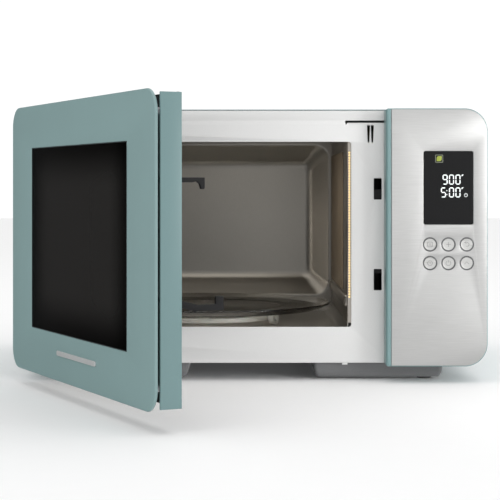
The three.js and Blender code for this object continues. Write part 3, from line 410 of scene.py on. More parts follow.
teal = srgb(118, 147, 148)
looks = {
    "teal_paint": surface("teal_paint", teal, 0.34, grain=650, bump=0.012, tint=0.012, blotch=0.015,
                          Specular_IOR_Level=0.4, Coat_Weight=0.1, Coat_Roughness=0.15),
    # The door glass's teal is lighter than teal_paint's, though it is the same teal: painted light on the
    # door's face.
    "teal_glass_painted_light": surface("teal_glass_painted_light", srgb(136, 163, 163), 0.3, grain=500, bump=0.004, tint=0.01,
                          blotch=0.02, Specular_IOR_Level=0.3, Coat_Weight=0.15, Coat_Roughness=0.1),
    "casing_paint": surface("casing_paint", srgb(110, 138, 141), 0.4, grain=1300, bump=0.03, tint=0.03,
                            blotch=0.02, Coat_Weight=0.15, Coat_Roughness=0.3),
    "brushed": surface("brushed", srgb(188, 188, 187), 0.36, 1.0, grain=2400, stretch=(0.02, 1, 1),
                       bump=0.012, tint=0.06, rough_swing=0.09, detail=6, blotch=0.02, Anisotropic=0.55),
    "button_steel": surface("button_steel", srgb(205, 205, 203), 0.3, 1.0, grain=2400,
                            stretch=(0.02, 1, 1), bump=0.01, tint=0.06, rough_swing=0.08, detail=6,
                            Anisotropic=0.5),
    "frame_paint": surface("frame_paint", srgb(226, 226, 225), 0.4, 0.55, grain=1500, bump=0.012,
                           tint=0.02, blotch=0.012),
    "cavity_steel": surface("cavity_steel", srgb(176, 170, 162), 0.3, 1.0, grain=1600,
                            stretch=(1, 1, 0.04), bump=0.01, tint=0.05, rough_swing=0.07, blotch=0.05,
                            Anisotropic=0.3),
    # The back wall's steel is darker than cavity_steel, though it is the same stainless: painted shade at the
    # back of the cavity.
    "shaded_back_steel": surface("shaded_back_steel", srgb(140, 137, 131), 0.34, 1.0, grain=1600, stretch=(1, 1, 0.2),
                          bump=0.006, tint=0.03, rough_swing=0.05, blotch=0.03, Anisotropic=0.2),
    "floor_steel": surface("floor_steel", srgb(206, 202, 195), 0.32, 1.0, grain=1600, stretch=(0.05, 1, 1),
                           bump=0.008, tint=0.04, rough_swing=0.06, blotch=0.04, Anisotropic=0.3),
    "zinc": surface("zinc", srgb(160, 163, 166), 0.42, 1.0, grain=120, bump=0.01, tint=0.12,
                    rough_swing=0.1, detail=8, blotch=0.06),
    "dark_steel": surface("dark_steel", srgb(112, 113, 114), 0.5, 0.3, grain=1200, bump=0.03, tint=0.06),
    "black_plastic": surface("black_plastic", srgb(22, 22, 23), 0.48, grain=1800, bump=0.03, tint=0.1,
                             Specular_IOR_Level=0.25),
    "inner_cover": surface("inner_cover", srgb(34, 35, 36), 0.42, grain=1500, bump=0.04, tint=0.08,
                           Specular_IOR_Level=0.3),
    "white_plastic": surface("white_plastic", srgb(226, 224, 216), 0.45, grain=1500, bump=0.02,
                             tint=0.015, Subsurface_Weight=0.05),
    "screen": surface("screen", srgb(20, 20, 21), 0.45, 0.5, grain=1200, bump=0.02, tint=0.1),
    "rubber": surface("rubber", srgb(18, 18, 18), 0.8, grain=1500, bump=0.05, tint=0.15),
    "mica": surface("mica", srgb(150, 132, 108), 0.5, grain=260, stretch=(1, 1, 0.3), bump=0.02,
                    tint=0.12, detail=8, blotch=0.08, Coat_Weight=0.3, Coat_Roughness=0.25),
    "satin_silver": surface("satin_silver", srgb(214, 216, 216), 0.35, 0.35, grain=1600, bump=0.006,
                            stretch=(0.05, 1, 1), tint=0.03),
    "circuit": surface("circuit", srgb(40, 96, 58), 0.4, grain=700, bump=0.02, tint=0.2, detail=8,
                       Coat_Weight=0.5),
    "black_glass": surface("black_glass", srgb(22, 22, 23), 0.12, grain=400, bump=0.001, tint=0.05,
                           rough_swing=0.03, Specular_IOR_Level=0.18),
    "icon_ink": surface("icon_ink", srgb(116, 117, 118), 0.5, 0.3, grain=900, bump=0.005, tint=0.05),
    "ring_grey": surface("ring_grey", srgb(98, 99, 100), 0.5, 0.2, grain=1500, bump=0.005, tint=0.04),
    "shadow_gap": surface("shadow_gap", srgb(52, 60, 61), 0.7, grain=900, bump=0.01, tint=0.05),
}


def glass(name, colour, roughness, ior=1.5):
    """Clear glass with a faint unevenness."""
    return surface(name, colour, roughness, grain=60, bump=0.002, tint=0.01, rough_swing=0.02, blotch=0.01,
                   Transmission_Weight=1.0, IOR=ior)


def glow(name, colour, strength, body_colour):
    """A lit finish: display digits and the lamp's light behind its holes."""
    made = surface(name, body_colour, 0.4, grain=900, bump=0.002, tint=0.03)
    shader = made.node_tree.nodes["Principled BSDF"]
    shader.inputs["Emission Color"].default_value = colour
    shader.inputs["Emission Strength"].default_value = strength
    return made


looks["clear_glass"] = glass("clear_glass", srgb(252, 253, 253), 0.05)
looks["lamp_glass"] = glass("lamp_glass", srgb(255, 244, 220), 0.1)
looks["window_film"] = glass("window_film", srgb(150, 155, 156), 0.12, 1.45)
looks["digit_white"] = glow("digit_white", srgb(232, 236, 236), 0.6, srgb(200, 204, 204))
looks["icon_green"] = glow("icon_green", srgb(150, 160, 60), 0.45, srgb(120, 130, 45))
looks["icon_grey"] = glow("icon_grey", srgb(130, 136, 118), 0.3, srgb(110, 114, 100))
looks["lamp_light"] = glow("lamp_light", srgb(255, 214, 130), 1.1, srgb(250, 220, 160))
looks["floor"] = surface("floor", srgb(250, 250, 250), 0.7, grain=40, bump=0.002, tint=0.003, blotch=0.002)


def window_glass():
    """The door's dark window: tinted glass with painted shade, its colour darkening from the middle towards
    every edge.
    """
    made = surface("window_glass", srgb(40, 39, 38), 0.22, grain=300, bump=0.001, tint=0.02,
                   rough_swing=0.03, Specular_IOR_Level=0.08)
    tree = made.node_tree
    split = tree.nodes.new("ShaderNodeSeparateXYZ")
    tree.links.new(tree.nodes.new("ShaderNodeTexCoord").outputs["Generated"], split.inputs["Vector"])
    edge_shade = []
    # Each fade darkens the colour towards an edge: painted shade at the window's edges.
    for axis, reach in (("X", 0.2), ("Z", 0.24)):
        centred = math_node(tree, "SUBTRACT", split.outputs[axis], 0.5)
        size = math_node(tree, "ABSOLUTE", centred)
        edge_shade.append(ranged(tree, size, smooth=True, from_min=0.5, from_max=0.5 - reach, to_min=0.12))
    tinted = tree.nodes["Principled BSDF"].inputs["Base Color"].links[0].from_socket
    tree.links.new(tinted, scale_colour(tree, math_node(tree, "MULTIPLY", *edge_shade)))
    return made


looks["window_glass"] = window_glass()


def dress(piece, look, body, stands_for=()):
    """Gives a piece its finish, the body it rides on and the CAD nodes it stands for."""
    piece.data.materials.clear()
    piece.data.materials.append(looks[look])
    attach(piece, body)
    if stands_for:
        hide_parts(*([stands_for] if isinstance(stands_for, str) else stands_for))
    return piece


def dress_door(piece, look, stands_for=(), body="door"):
    """The same for a piece laid out with the door closed: it is swung to the door's rest place first."""
    piece.data.transform(door_swing)
    return dress(piece, look, body, stands_for)


def finish_node(node, look):
    """Gives a CAD node that stays a better finish."""
    target = frame["nodes"][node]
    target.data.materials.clear()
    target.data.materials.append(looks[look])


# ---------------------------------------------------------------- shared sizes and places

body_corner = 25 * mm
sheet = 0.8 * mm
gap = 0.3 * mm
corner_steps = 20

casing = place("outer_casing")
left = casing.low.x
right = casing.high.x
bottom = casing.low.z
top = casing.high.z
body_front = casing.low.y
body_back = casing.high.y

frame_plate = place("front_frame")
floor_pan = place("cavity_floor")
left_wall = place("cavity_side_left")
right_wall = place("cavity_side_right")
ceiling = place("cavity_ceiling")
back_wall = place("cavity_back")
glass_tray = place("glass_plate")
ring_place = place("roller_ring")
housing = place("panel_housing")
fascia = place("panel_fascia")
display = place("display_window")
rear = place("rear_panel")
pan = place("base_pan")
gland = place("cord_gland")

front_glass = door_place("door_glass")
door_shell = door_place("door_frame")
side_cap = door_place("door_side_cap")
badge = door_place("door_badge")
inner_cover = door_place("door_inner_cover")
screen = door_place("door_screen")
upper_hook = door_place("latch_hook_upper")
lower_hook = door_place("latch_hook_lower")
spring = door_place("latch_spring")

turntable_x = glass_tray.mid.x
turntable_y = glass_tray.mid.y


def carve(piece, cutters):
    """Cuts other pieces out of one."""
    tool = join(piece.name + "_tool", cutters)
    cutting = piece.modifiers.new("cut", "BOOLEAN")
    cutting.operation = "DIFFERENCE"
    cutting.solver = "EXACT"
    cutting.object = tool
    apply_modifiers(piece)
    old = tool.data
    bpy.data.objects.remove(tool)
    bpy.data.meshes.remove(old)
    return piece


def slot_outline(u, v, width, length):
    """An upright slot with round ends about a centre."""
    return rounded(u - width / 2, u + width / 2, v - length / 2, v + length / 2, width / 2 - 1e-6, 6)


vent_width = 3.5 * mm
vent_length = 26 * mm
vent_pitch = 9 * mm
vent_count = 9


def vent_row(first, centre_z):
    """A row of upright slots at one height, from the first one's place along the row."""
    return [slot_outline(first + i * vent_pitch, centre_z, vent_width, vent_length)
            for i in range(vent_count)]


# ---------------------------------------------------------------- body shell


def outer_casing():
    """The wrapper: one bent sheet round the sides and top, its lips turned under the body."""
    lip = 15 * mm
    inner = body_corner - sheet
    corners = [(left + body_corner, bottom + body_corner, 180), (left + body_corner, top - body_corner, 90),
               (right - body_corner, top - body_corner, 0), (right - body_corner, bottom + body_corner, 270)]
    outside = [(left + body_corner + lip, bottom)]
    for u, v, start in corners:
        outside += reversed(arc(u, v, body_corner, start, start + 90, corner_steps))
    outside += [(right - body_corner - lip, bottom)]
    inside = [(right - body_corner - lip, bottom + sheet)]
    for u, v, start in reversed(corners):
        inside += arc(u, v, inner, start, start + 90, corner_steps)
    inside += [(left + body_corner + lip, bottom + sheet)]
    wrapper = plate("outer_casing_shell", list(reversed(outside + inside)), [], "xz",
                    body_front, body_back, 0.25 * mm)
    vent_z = (bottom + top) / 2 + 60 * mm
    first = body_back - 120 * mm
    cutters = []
    for wall_x in (left, right):
        for loop in vent_row(first, vent_z):
            cutters.append(plate("vent", loop, [], "yz", wall_x - 3 * mm, wall_x + 3 * mm, 0.1 * mm))
    carve(wrapper, cutters)
    dress(wrapper, "casing_paint", "chassis", "outer_casing")


def screw(name, x, y, z):
    """A pan-head screw on the back, its cross recess cut through to the panel."""
    reach = 2 * mm
    arm = 0.45 * mm
    quarter = [(arm, reach), (arm, arm), (reach, arm)]
    cross = [(x + u, z + v) for u, v in quarter]
    cross += [(x + u, z - v) for u, v in reversed(quarter)]
    cross += [(x - u, z - v) for u, v in quarter]
    cross += [(x - u, z + v) for u, v in reversed(quarter)]
    head = plate(name, ring(x, z, 3.6 * mm, 32), [cross], "xz", y, y + 1.8 * mm, 0.12 * mm)
    return dress(head, "zinc", "chassis")


def rear_panel():
    """The galvanised back, its vents pressed through, with its screws and the gland."""
    fan = place("fan_blade")
    first = fan.mid.x - 4 * vent_pitch
    holes = vent_row(first, fan.mid.z + 18 * mm) + vent_row(first, fan.mid.z - 18 * mm)
    holes += vent_row(left_wall.high.x + 20 * mm, top - 45 * mm)
    holes.append(ring(gland.mid.x, gland.mid.z, 8 * mm))
    inset = left - rear.low.x
    corner = body_corner + inset
    panel = plate("rear_cover", rounded(*front_box(rear), corner, corner_steps), holes, "xz",
                  rear.low.y, rear.high.y, 0.2 * mm)
    even = panel.modifiers.new("even_shading", "WEIGHTED_NORMAL")
    even.keep_sharp = True
    even.weight = 100
    dress(panel, "zinc", "chassis", "rear_panel")
    span_x = (rear.low.x + 14 * mm, rear.high.x - 14 * mm)
    span_z = (rear.low.z + 34 * mm, rear.high.z - 34 * mm)
    places = [(x, z) for x in span_x for z in span_z]
    edge_z = (rear.low.z + 9 * mm, rear.high.z - 9 * mm)
    places += [(rear.mid.x + side * 96 * mm, z) for side in (-1, 1) for z in edge_z]
    for index, (x, z) in enumerate(places):
        screw("rear_screw_%d" % (index + 1), x, rear.high.y, z)
    bore = 3.6 * mm
    neck = 7.6 * mm
    face = rear.high.y
    profile = [(bore, face - 6 * mm), (neck + 2 * mm, face - 6 * mm), (neck + 2 * mm, face - 1.1 * mm),
               (neck, face - 1.1 * mm), (neck, face + 0.3 * mm), (neck + 3 * mm, face + 0.3 * mm),
               (neck + 1 * mm, face + 5 * mm), (bore, face + 5 * mm), (bore, face - 6 * mm)]
    collar = turned("cord_gland_ring", soften(profile, 0.4 * mm), "y", (gland.mid.x, 0, gland.mid.z), 48)
    dress(collar, "black_plastic", "chassis", "cord_gland")


def base_pan():
    """The dark base sheet, its two plinths drawn down with rounded shoulders and foot."""
    flat = block("pan_sheet", (pan.low.x, pan.low.y, pan.high.z - sheet), pan.high, 0.2 * mm)
    pieces = [flat]
    slope = 5 * mm
    largest_corner = 5 * mm
    bend = 5 * mm
    top_z = pan.high.z - sheet / 2
    side = [(0.2 * mm, top_z - 0.6 * mm), (1.8 * mm, pan.low.z + bend), (slope, pan.low.z),
            (slope + 6 * mm, pan.low.z)]
    steps = [(0.0, top_z)] + soften(side, 1.6 * mm, 4)
    feet_x = sorted({round(place(n).mid.x, 5) for n in ("foot_front_left", "foot_front_right")})
    set_in = 20 * mm
    width = 145 * mm
    front = place("foot_front_left").mid.y - set_in
    back = place("foot_rear_left").mid.y + set_in
    for index, foot_x in enumerate(feet_x):
        low = foot_x - set_in if index == 0 else foot_x + set_in - width
        high = low + width
        rings = []
        for inset, z in steps:
            corner = max(largest_corner - inset * 0.3, 1 * mm)
            loop = rounded(low + inset, high - inset, front + inset, back - inset, corner, 8)
            rings.append([(x, y, z) for x, y in loop])
        pieces.append(loft("plinth", rings, caps=(False, True)))
    dress(join("base_cover", pieces), "dark_steel", "chassis", "base_pan")


def feet():
    """Rubber feet, waisted under the head, each on its stem."""
    for node in ("foot_front_left", "foot_front_right", "foot_rear_left", "foot_rear_right"):
        spot = place(node)
        radius = (spot.high.x - spot.low.x) / 2
        head = 3.7 * mm
        profile = [(0, 0), (radius - 1.6 * mm, 0), (radius - 0.5 * mm, 0.8 * mm), (radius, head - 0.6 * mm),
                   (radius - 0.4 * mm, head), (2.6 * mm, head), (2.6 * mm, spot.high.z), (0, spot.high.z)]
        piece = turned(node + "_pad", soften(profile, 0.4 * mm), "z", (spot.mid.x, spot.mid.y, 0), 48)
        dress(piece, "rubber", "chassis", node)


hinge_levels = [place(node).mid.z for node in ("hinge_bracket_upper", "hinge_bracket_lower")]
slot_x = (upper_hook.low.x + upper_hook.high.x) / 2 + 1.9 * mm
slot_width = 8.6 * mm
slot_height = 23.5 * mm
middle_z = (bottom + top) / 2
upper_slot_z = middle_z + 52.8 * mm
lower_slot_z = middle_z - 47.4 * mm


def front_frame():
    """The painted frame: opening with a rolled edge, latch slots, hinge slots and the pressed seam."""
    inset = frame_plate.low.x - left
    corner = body_corner - inset
    edge = rounded(*front_box(frame_plate), [corner, 0.1 * mm, 0.1 * mm, corner], corner_steps)
    holes = [rounded(*opening_box, 3 * mm, 8)]
    for z in (upper_slot_z, lower_slot_z):
        holes.append(rounded(slot_x - slot_width / 2, slot_x + slot_width / 2,
                             z - slot_height / 2, z + slot_height / 2, 0.8 * mm, 4))
    for level in hinge_levels:
        holes.append(rounded(hinge_point.x - 4.5 * mm, hinge_point.x + 4.5 * mm,
                             level - 2.5 * mm, level + 2.5 * mm, 0.6 * mm, 4))
    seam_z = top - 13.4 * mm
    half = 1.2 * mm
    seam_left = opening_box[1] - 6.4 * mm
    seam_right = housing.low.x + 2 * mm
    hook_width = 1.6 * mm
    hook_drop = 3 * mm
    seam = [(seam_left, seam_z - hook_drop), (seam_left + hook_width, seam_z - hook_drop),
            (seam_left + hook_width, seam_z - half), (seam_right, seam_z - half),
            (seam_right, seam_z + half), (seam_left, seam_z + half)]
    holes.append(soften_loop(seam, 0.5 * mm))
    for shift in (-10.2 * mm, -6 * mm):
        x = slot_x + shift
        key = [(x - 0.8 * mm, seam_z - 23 * mm), (x + 0.8 * mm, seam_z - 23 * mm),
               (x + 1.6 * mm, seam_z - 3.6 * mm), (x - 1.6 * mm, seam_z - 3.6 * mm)]
        holes.append(soften_loop(key, 0.5 * mm))
    panel = plate("front_frame_plate", edge, holes, "xz", frame_plate.low.y, frame_plate.high.y, 0.35 * mm, 3)
    tab_x = left + 361 * mm
    tab = block("tab", (tab_x - 3 * mm, frame_plate.low.y + 0.1 * mm, frame_plate.low.z - 2 * mm),
                (tab_x + 3 * mm, frame_plate.high.y - 0.1 * mm, frame_plate.low.z + 1 * mm), 0.5 * mm, 3)
    panel = join("front_frame_plate", [panel, tab])
    dress(panel, "frame_paint", "chassis", "front_frame")


# The opening in the frame, from the cavity's walls: left, right, low and high.
opening_box = (
    floor_pan.low.x + 0.8 * mm - 4 * mm,
    floor_pan.high.x - 0.8 * mm + 4 * mm,
    floor_pan.low.z + sheet + 7.9 * mm,
    ceiling.low.z - gap - 8.7 * mm,
)


# ---------------------------------------------------------------- oven cavity

fillet = 12 * mm


def cavity_floor():
    """The floor, swept up into the walls."""
    x0 = floor_pan.low.x + sheet
    x1 = floor_pan.high.x - sheet
    z = floor_pan.low.z + sheet
    outer = fillet + sheet
    section = arc(x0 + fillet, z + fillet, outer, 180, 270, corner_steps)
    section += arc(x1 - fillet, z + fillet, outer, 270, 360, corner_steps)
    section += list(reversed(arc(x1 - fillet, z + fillet, fillet, 270, 360, corner_steps)))
    section += list(reversed(arc(x0 + fillet, z + fillet, fillet, 180, 270, corner_steps)))
    shell = plate("cavity_floor_sheet", section, [], "xz", floor_pan.low.y, floor_pan.high.y, 0.2 * mm)
    bore = 6 * mm
    profile = [(0, z - 3 * mm), (bore, z - 3 * mm), (bore, z + 3 * mm), (0, z + 3 * mm)]
    drill = turned("drill", profile, "z", (turntable_x, turntable_y, 0), 48)
    carve(shell, [drill])
    dress(shell, "floor_steel", "chassis", "cavity_floor")


def side_wall(name, wall, inner_x, outward, holes, flange_holes=()):
    """A cavity wall with its front flange turned outward."""
    far = inner_x + outward * sheet
    upright = plate(name, rounded(wall.low.y, wall.high.y, wall.low.z, wall.high.z, 0.3 * mm, 2), holes, "yz",
                    min(inner_x, far), max(inner_x, far), 0.15 * mm)
    flange_x = sorted((inner_x, inner_x + outward * 12 * mm))
    outline = rounded(*flange_x, wall.low.z, wall.high.z, 0.2 * mm, 2)
    flange = plate("flange", outline, flange_holes, "xz", wall.low.y, wall.low.y + sheet, 0.1 * mm)
    return join(name, [upright, flange])


def cavity_sides():
    """Both side walls: steam slots on the left; lamp holes, microwave port and rib on the right."""
    steam = vent_row(back_wall.low.y - 110 * mm, middle_z + 60 * mm)
    inner_left = floor_pan.low.x + sheet
    shell = side_wall("cavity_wall_left", left_wall, inner_left, -1, steam)
    dress(shell, "cavity_steel", "chassis", "cavity_side_left")
    inner_right = floor_pan.high.x - sheet
    holes = []
    columns = 3
    rows = 30
    pitch = 5.2 * mm
    first_z = bottom + 80 * mm
    lamp_y = place("oven_lamp").mid.y - 10 * mm
    for column in range(columns):
        for row in range(rows):
            y = lamp_y + (column - 1) * 4.2 * mm
            z = first_z + (row + 0.5 * (column % 2)) * pitch
            holes.append(ring(y, z, 1.35 * mm, 10))
    guide = place("waveguide")
    margin = 8 * mm
    holes.append(rounded(guide.low.y + margin, guide.high.y - margin, guide.low.z + margin,
                         guide.high.z - margin, 3 * mm, 4))
    strip_low = bottom + 74 * mm
    strip_high = bottom + 234 * mm
    strip_pitch = 2.9 * mm
    strip_x = inner_right + 2.2 * mm
    strip_count = int((strip_high - strip_low) / strip_pitch) + 1
    lit_holes = [ring(strip_x, strip_low + i * strip_pitch, 1.0 * mm, 10) for i in range(strip_count)]
    shell = side_wall("cavity_wall_right", right_wall, inner_right, 1, holes, lit_holes)
    # The strip behind the flange's holes is no lamp: it glows to paint the light seen through them.
    strip_back = right_wall.low.y + sheet
    glow_strip = plate("painted_glow_strip", rounded(strip_x - 1.3 * mm, strip_x + 3 * mm, strip_low - 3 * mm,
                                             strip_high + 3 * mm, 0.8 * mm, 3), [], "xz",
                       strip_back + 0.3 * mm, strip_back + 1.1 * mm, 0.1 * mm)
    dress(glow_strip, "lamp_light", "chassis")
    rib_low = bottom + 62 * mm
    rib_high = bottom + 75 * mm
    rib_front = right_wall.low.y + 14 * mm
    rib_back = back_wall.low.y - 12 * mm
    rings = []
    for t in range(7):
        angle = math.radians(90 * t / 6)
        inset = 3.4 * mm * (1 - math.cos(angle))
        lift = 3.4 * mm * math.sin(angle)
        loop = rounded(rib_front + inset, rib_back - inset, rib_low + inset, rib_high - inset, 2.6 * mm, 6)
        rings.append([(inner_right + 0.2 * mm - lift, y, z) for y, z in loop])
    rib = loft("rib", rings, caps=(True, True), degrees=50)
    shell = join("cavity_wall_right", [shell, rib])
    dress(shell, "cavity_steel", "chassis", "cavity_side_right")
    # The plate behind the lamp holes glows in the lamp's stead: painted lamp light, since the lamp itself
    # does not glow.
    lit = plate("painted_lamp_glow", rounded(lamp_y - 8 * mm, lamp_y + 8 * mm, first_z - 6 * mm,
                                         first_z + rows * pitch + 6 * mm, 3 * mm, 6), [], "yz",
                inner_right + sheet + 0.4 * mm, inner_right + sheet + 1.4 * mm, 0.2 * mm)
    dress(lit, "lamp_light", "chassis")


def cavity_back():
    """The back plate, its pocket drawn with round corners and soft bends."""
    x0, x1, z0, z1 = front_box(back_wall)
    wall_y = back_wall.low.y
    margin = sheet + 3.6 * mm
    low_z = floor_pan.low.z + sheet + 21 * mm
    high_z = ceiling.low.z - gap - 3 * mm
    depth = 20 * mm
    slope = 25 * mm
    corner = 18 * mm
    corner_count = 10
    path = soften([(-3.2 * mm, 0), (0.2 * mm, 0), (slope, depth), (slope + 40 * mm, depth)], 7 * mm, 8)
    rings = [[(x, wall_y, z) for x, z in square_loop(x0, x1, z0, z1, corner_count + 1)]]
    for inset, sunk in path:
        loop = rounded(x0 + margin + inset, x1 - margin - inset, low_z + inset, high_z - inset,
                       max(corner - inset * 0.25, 4 * mm), corner_count)
        rings.append([(x, wall_y + sunk, z) for x, z in loop])
    shell = loft("cavity_back_sheet", rings, caps=(False, True), degrees=40)
    thicken(shell, sheet * 0.9, 1.0 if first_normal_faces_front(shell) else -1.0)
    dress(shell, "shaded_back_steel", "chassis", "cavity_back")


def square_loop(x0, x1, z0, z1, per_corner):
    """A sharp rectangle with as many points as a rounded one, so that a skin can join the two."""
    corners = [(x0, z0), (x1, z0), (x1, z1), (x0, z1)]
    spread = 0.02
    points = []
    for index, (x, z) in enumerate(corners):
        before = corners[index - 1]
        after = corners[(index + 1) % 4]
        for i in range(per_corner):
            t = i / (per_corner - 1) * 2 - 1
            other = before if t < 0 else after
            points.append((x + (other[0] - x) * abs(t) * spread, z + (other[1] - z) * abs(t) * spread))
    return points


def first_normal_faces_front(piece):
    return sum(face.normal.y * face.area for face in piece.data.polygons) < 0


def mica_cover():
    """The mica sheet over the microwave port."""
    spot = place("waveguide_cover")
    outline = rounded(spot.low.y, spot.high.y, spot.low.z, spot.high.z, 4 * mm, 6)
    cover = plate("microwave_port_cover", outline, [], "yz", spot.low.x, spot.high.x, 0.15 * mm)
    dress(cover, "mica", "chassis", "waveguide_cover")


# ---------------------------------------------------------------- turntable


def glass_plate():
    """The glass tray: a flat dish, its rim turned up, with moulded rings underneath."""
    low = glass_tray.low.z
    high_rim = glass_tray.high.z
    radius = (glass_tray.high.x - glass_tray.low.x) / 2
    thickness = 4.5 * mm
    profile = [(0, low), (radius - 60 * mm, low), (radius - 58 * mm, low + 0.5 * mm), (radius - 56 * mm, low),
               (radius - 32 * mm, low), (radius - 14 * mm, low + 1.5 * mm), (radius, low + 8 * mm),
               (radius - 0.6 * mm, high_rim), (radius - 3 * mm, high_rim),
               (radius - 16 * mm, low + thickness + 1.5 * mm), (radius - 34 * mm, low + thickness),
               (0, low + thickness)]
    tray = turned("glass_tray", soften(profile, 3 * mm, 6), "z", (turntable_x, turntable_y, 0), 128, 50)
    dress(tray, "clear_glass", "turntable", "glass_plate")


def roller_ring():
    """The ring that carries the rollers, its edge rounded, with a hub for each axle."""
    inner = 78 * mm
    outer = 88 * mm
    level = ring_place.mid.z
    half = 2.5 * mm
    profile = [(inner, level - half), (outer, level - half), (outer, level + half), (inner, level + half),
               (inner, level - half)]
    loop = soften_loop(profile[:-1], 1 * mm, 4)
    band = turned("roller_ring_band", loop + [loop[0]], "z", (turntable_x, turntable_y, 0), 128)
    pieces = [band]
    for index in range(3):
        wheel = place("roller_%d" % (index + 1))
        angle = math.atan2(wheel.mid.y - turntable_y, wheel.mid.x - turntable_x)
        turn = Matrix.Translation((turntable_x, turntable_y, level)) @ Matrix.Rotation(angle, 4, "Z")
        profile = [(0, 84 * mm), (2.2 * mm, 84 * mm), (2.2 * mm, 99.3 * mm), (3.6 * mm, 99.3 * mm),
                   (3.6 * mm, 101 * mm), (0, 101 * mm)]
        axle = turned("axle", soften(profile, 0.3 * mm), "x", (0, 0, 0), 24)
        axle.data.transform(turn)
        pieces.append(axle)
        track = 95.5 * mm
        half_width = 3.5 * mm
        profile = [(2.5 * mm, track - half_width), (7 * mm, track - half_width), (7 * mm, track + half_width),
                   (2.5 * mm, track + half_width)]
        loop = soften_loop(profile, 0.8 * mm, 4)
        tyre = turned("roller_%d_wheel" % (index + 1), loop + [loop[0]], "x", (0, 0, 0), 48)
        tyre.data.transform(turn)
        dress(tyre, "white_plastic", "roller_%d" % (index + 1), "roller_%d" % (index + 1))
    dress(join("roller_ring_band", pieces), "white_plastic", "roller_ring", "roller_ring")


# ---------------------------------------------------------------- control panel


def panel_cut_loops(extra):
    """The display's and the buttons' holes, the display's widened by extra."""
    loops = [rounded(*inset_box(front_box(display), -extra), 2 * mm, 6)]
    for name in buttons:
        spot = place(name)
        loops.append(ring(spot.mid.x, spot.mid.z, 7.8 * mm, 48))
    return loops


buttons = ["button_defrost", "button_plus", "button_back", "button_clock", "button_power", "button_cancel"]


def panel_housing():
    """The moulded housing: face behind the fascia, walls back to the body, and the bullnose border."""
    x0, x1, z0, z1 = front_box(housing)
    face_y = fascia.high.y + gap
    radii = [3 * mm, body_corner, body_corner, 3 * mm]
    wall = 2.5 * mm
    inner_radii = [1.5 * mm, body_corner - wall, body_corner - wall, 1.5 * mm]
    face = plate("face", rounded(x0, x1, z0, z1, radii, corner_steps), panel_cut_loops(gap), "xz",
                 face_y, face_y + 2.7 * mm, 0.5 * mm, 3)
    walls = plate("walls", rounded(x0, x1, z0, z1, radii, corner_steps),
                  [rounded(x0 + wall, x1 - wall, z0 + wall, z1 - wall, inner_radii, corner_steps)], "xz",
                  face_y + 0.7 * mm, housing.high.y, 0.5 * mm, 3)
    nose = 2.7 * mm
    nose_right = fascia.low.x - 0.5 * mm
    section = arc(x0 + nose, housing.low.y + nose, nose, 180, 270, 12)
    section += arc(nose_right - 0.5 * mm, housing.low.y + 0.5 * mm, 0.5 * mm, 270, 360, 4)
    section += [(nose_right, face_y + 1.4 * mm), (x0, face_y + 1.4 * mm)]
    rings = []
    end = 3 * mm
    for t in range(9):
        angle = math.radians(90 * t / 8)
        rings.append((z0 + end * (1 - math.sin(angle)), end * (1 - math.cos(angle))))
    profile = sorted(rings)
    profile += [(z0 + z1 - z, shrink) for z, shrink in reversed(profile)]
    loops = []
    for z, shrink in profile:
        loops.append([(min(max(x, x0 + shrink), nose_right), max(y, housing.low.y + shrink * 0.9), z)
                      for x, y in section])
    border = loft("border", loops, caps=(True, True), degrees=40)
    whole = join("control_panel_housing", [face, walls, border])
    dress(whole, "teal_paint", "chassis", "panel_housing")


def panel_fascia():
    """The brushed steel fascia, its rim turned."""
    inset = right - fascia.high.x
    corner = body_corner - inset
    outline = rounded(*front_box(fascia), [0.2 * mm, corner, corner, 0.2 * mm], corner_steps)
    face = plate("control_fascia", outline, panel_cut_loops(gap), "xz",
                 fascia.low.y, fascia.high.y, 0.3 * mm, 3)
    dress(face, "brushed", "chassis", "panel_fascia")


def inset_box(box, amount):
    """A left, right, low and high moved in from every side."""
    return box[0] + amount, box[1] - amount, box[2] + amount, box[3] - amount


def segment_digit(x, z, width, height, stroke, lit):
    """One seven-segment digit: x, z is its low left corner. Segments run a to g."""
    half = stroke / 2
    space = stroke * 0.14
    places = {
        "a": ((x + half, z + height - half), (x + width - half, z + height - half)),
        "b": ((x + width - half, z + height / 2), (x + width - half, z + height - half)),
        "c": ((x + width - half, z + half), (x + width - half, z + height / 2)),
        "d": ((x + half, z + half), (x + width - half, z + half)),
        "e": ((x + half, z + half), (x + half, z + height / 2)),
        "f": ((x + half, z + height / 2), (x + half, z + height - half)),
        "g": ((x + half, z + height / 2), (x + width - half, z + height / 2)),
    }
    loops = []
    for name in lit:
        (u0, v0), (u1, v1) = places[name]
        along = Vector((u1 - u0, v1 - v0))
        along.normalize()
        across = Vector((-along.y, along.x)) * half
        start = Vector((u0, v0)) + along * space
        stop = Vector((u1, v1)) - along * space
        tip = along * half
        loops.append([tuple(p) for p in (start, start + tip - across, stop - tip - across, stop,
                                         stop - tip + across, start + tip + across)])
    return loops


SEGMENTS = {"0": "abcdef", "5": "acdfg", "9": "abcdfg"}
print_lift = 0.06 * mm


def print_mark(name, outline, holes=()):
    """A thin flat shape lying on the display's face."""
    y = display.low.y
    return plate(name, outline, holes, "xz", y - print_lift, y + print_lift, 0.01 * mm, 1)


def printed(name, loops, look):
    """Flat shapes on the display, as one piece."""
    return dress(join(name, [print_mark("mark", loop) for loop in loops]), look, "chassis")


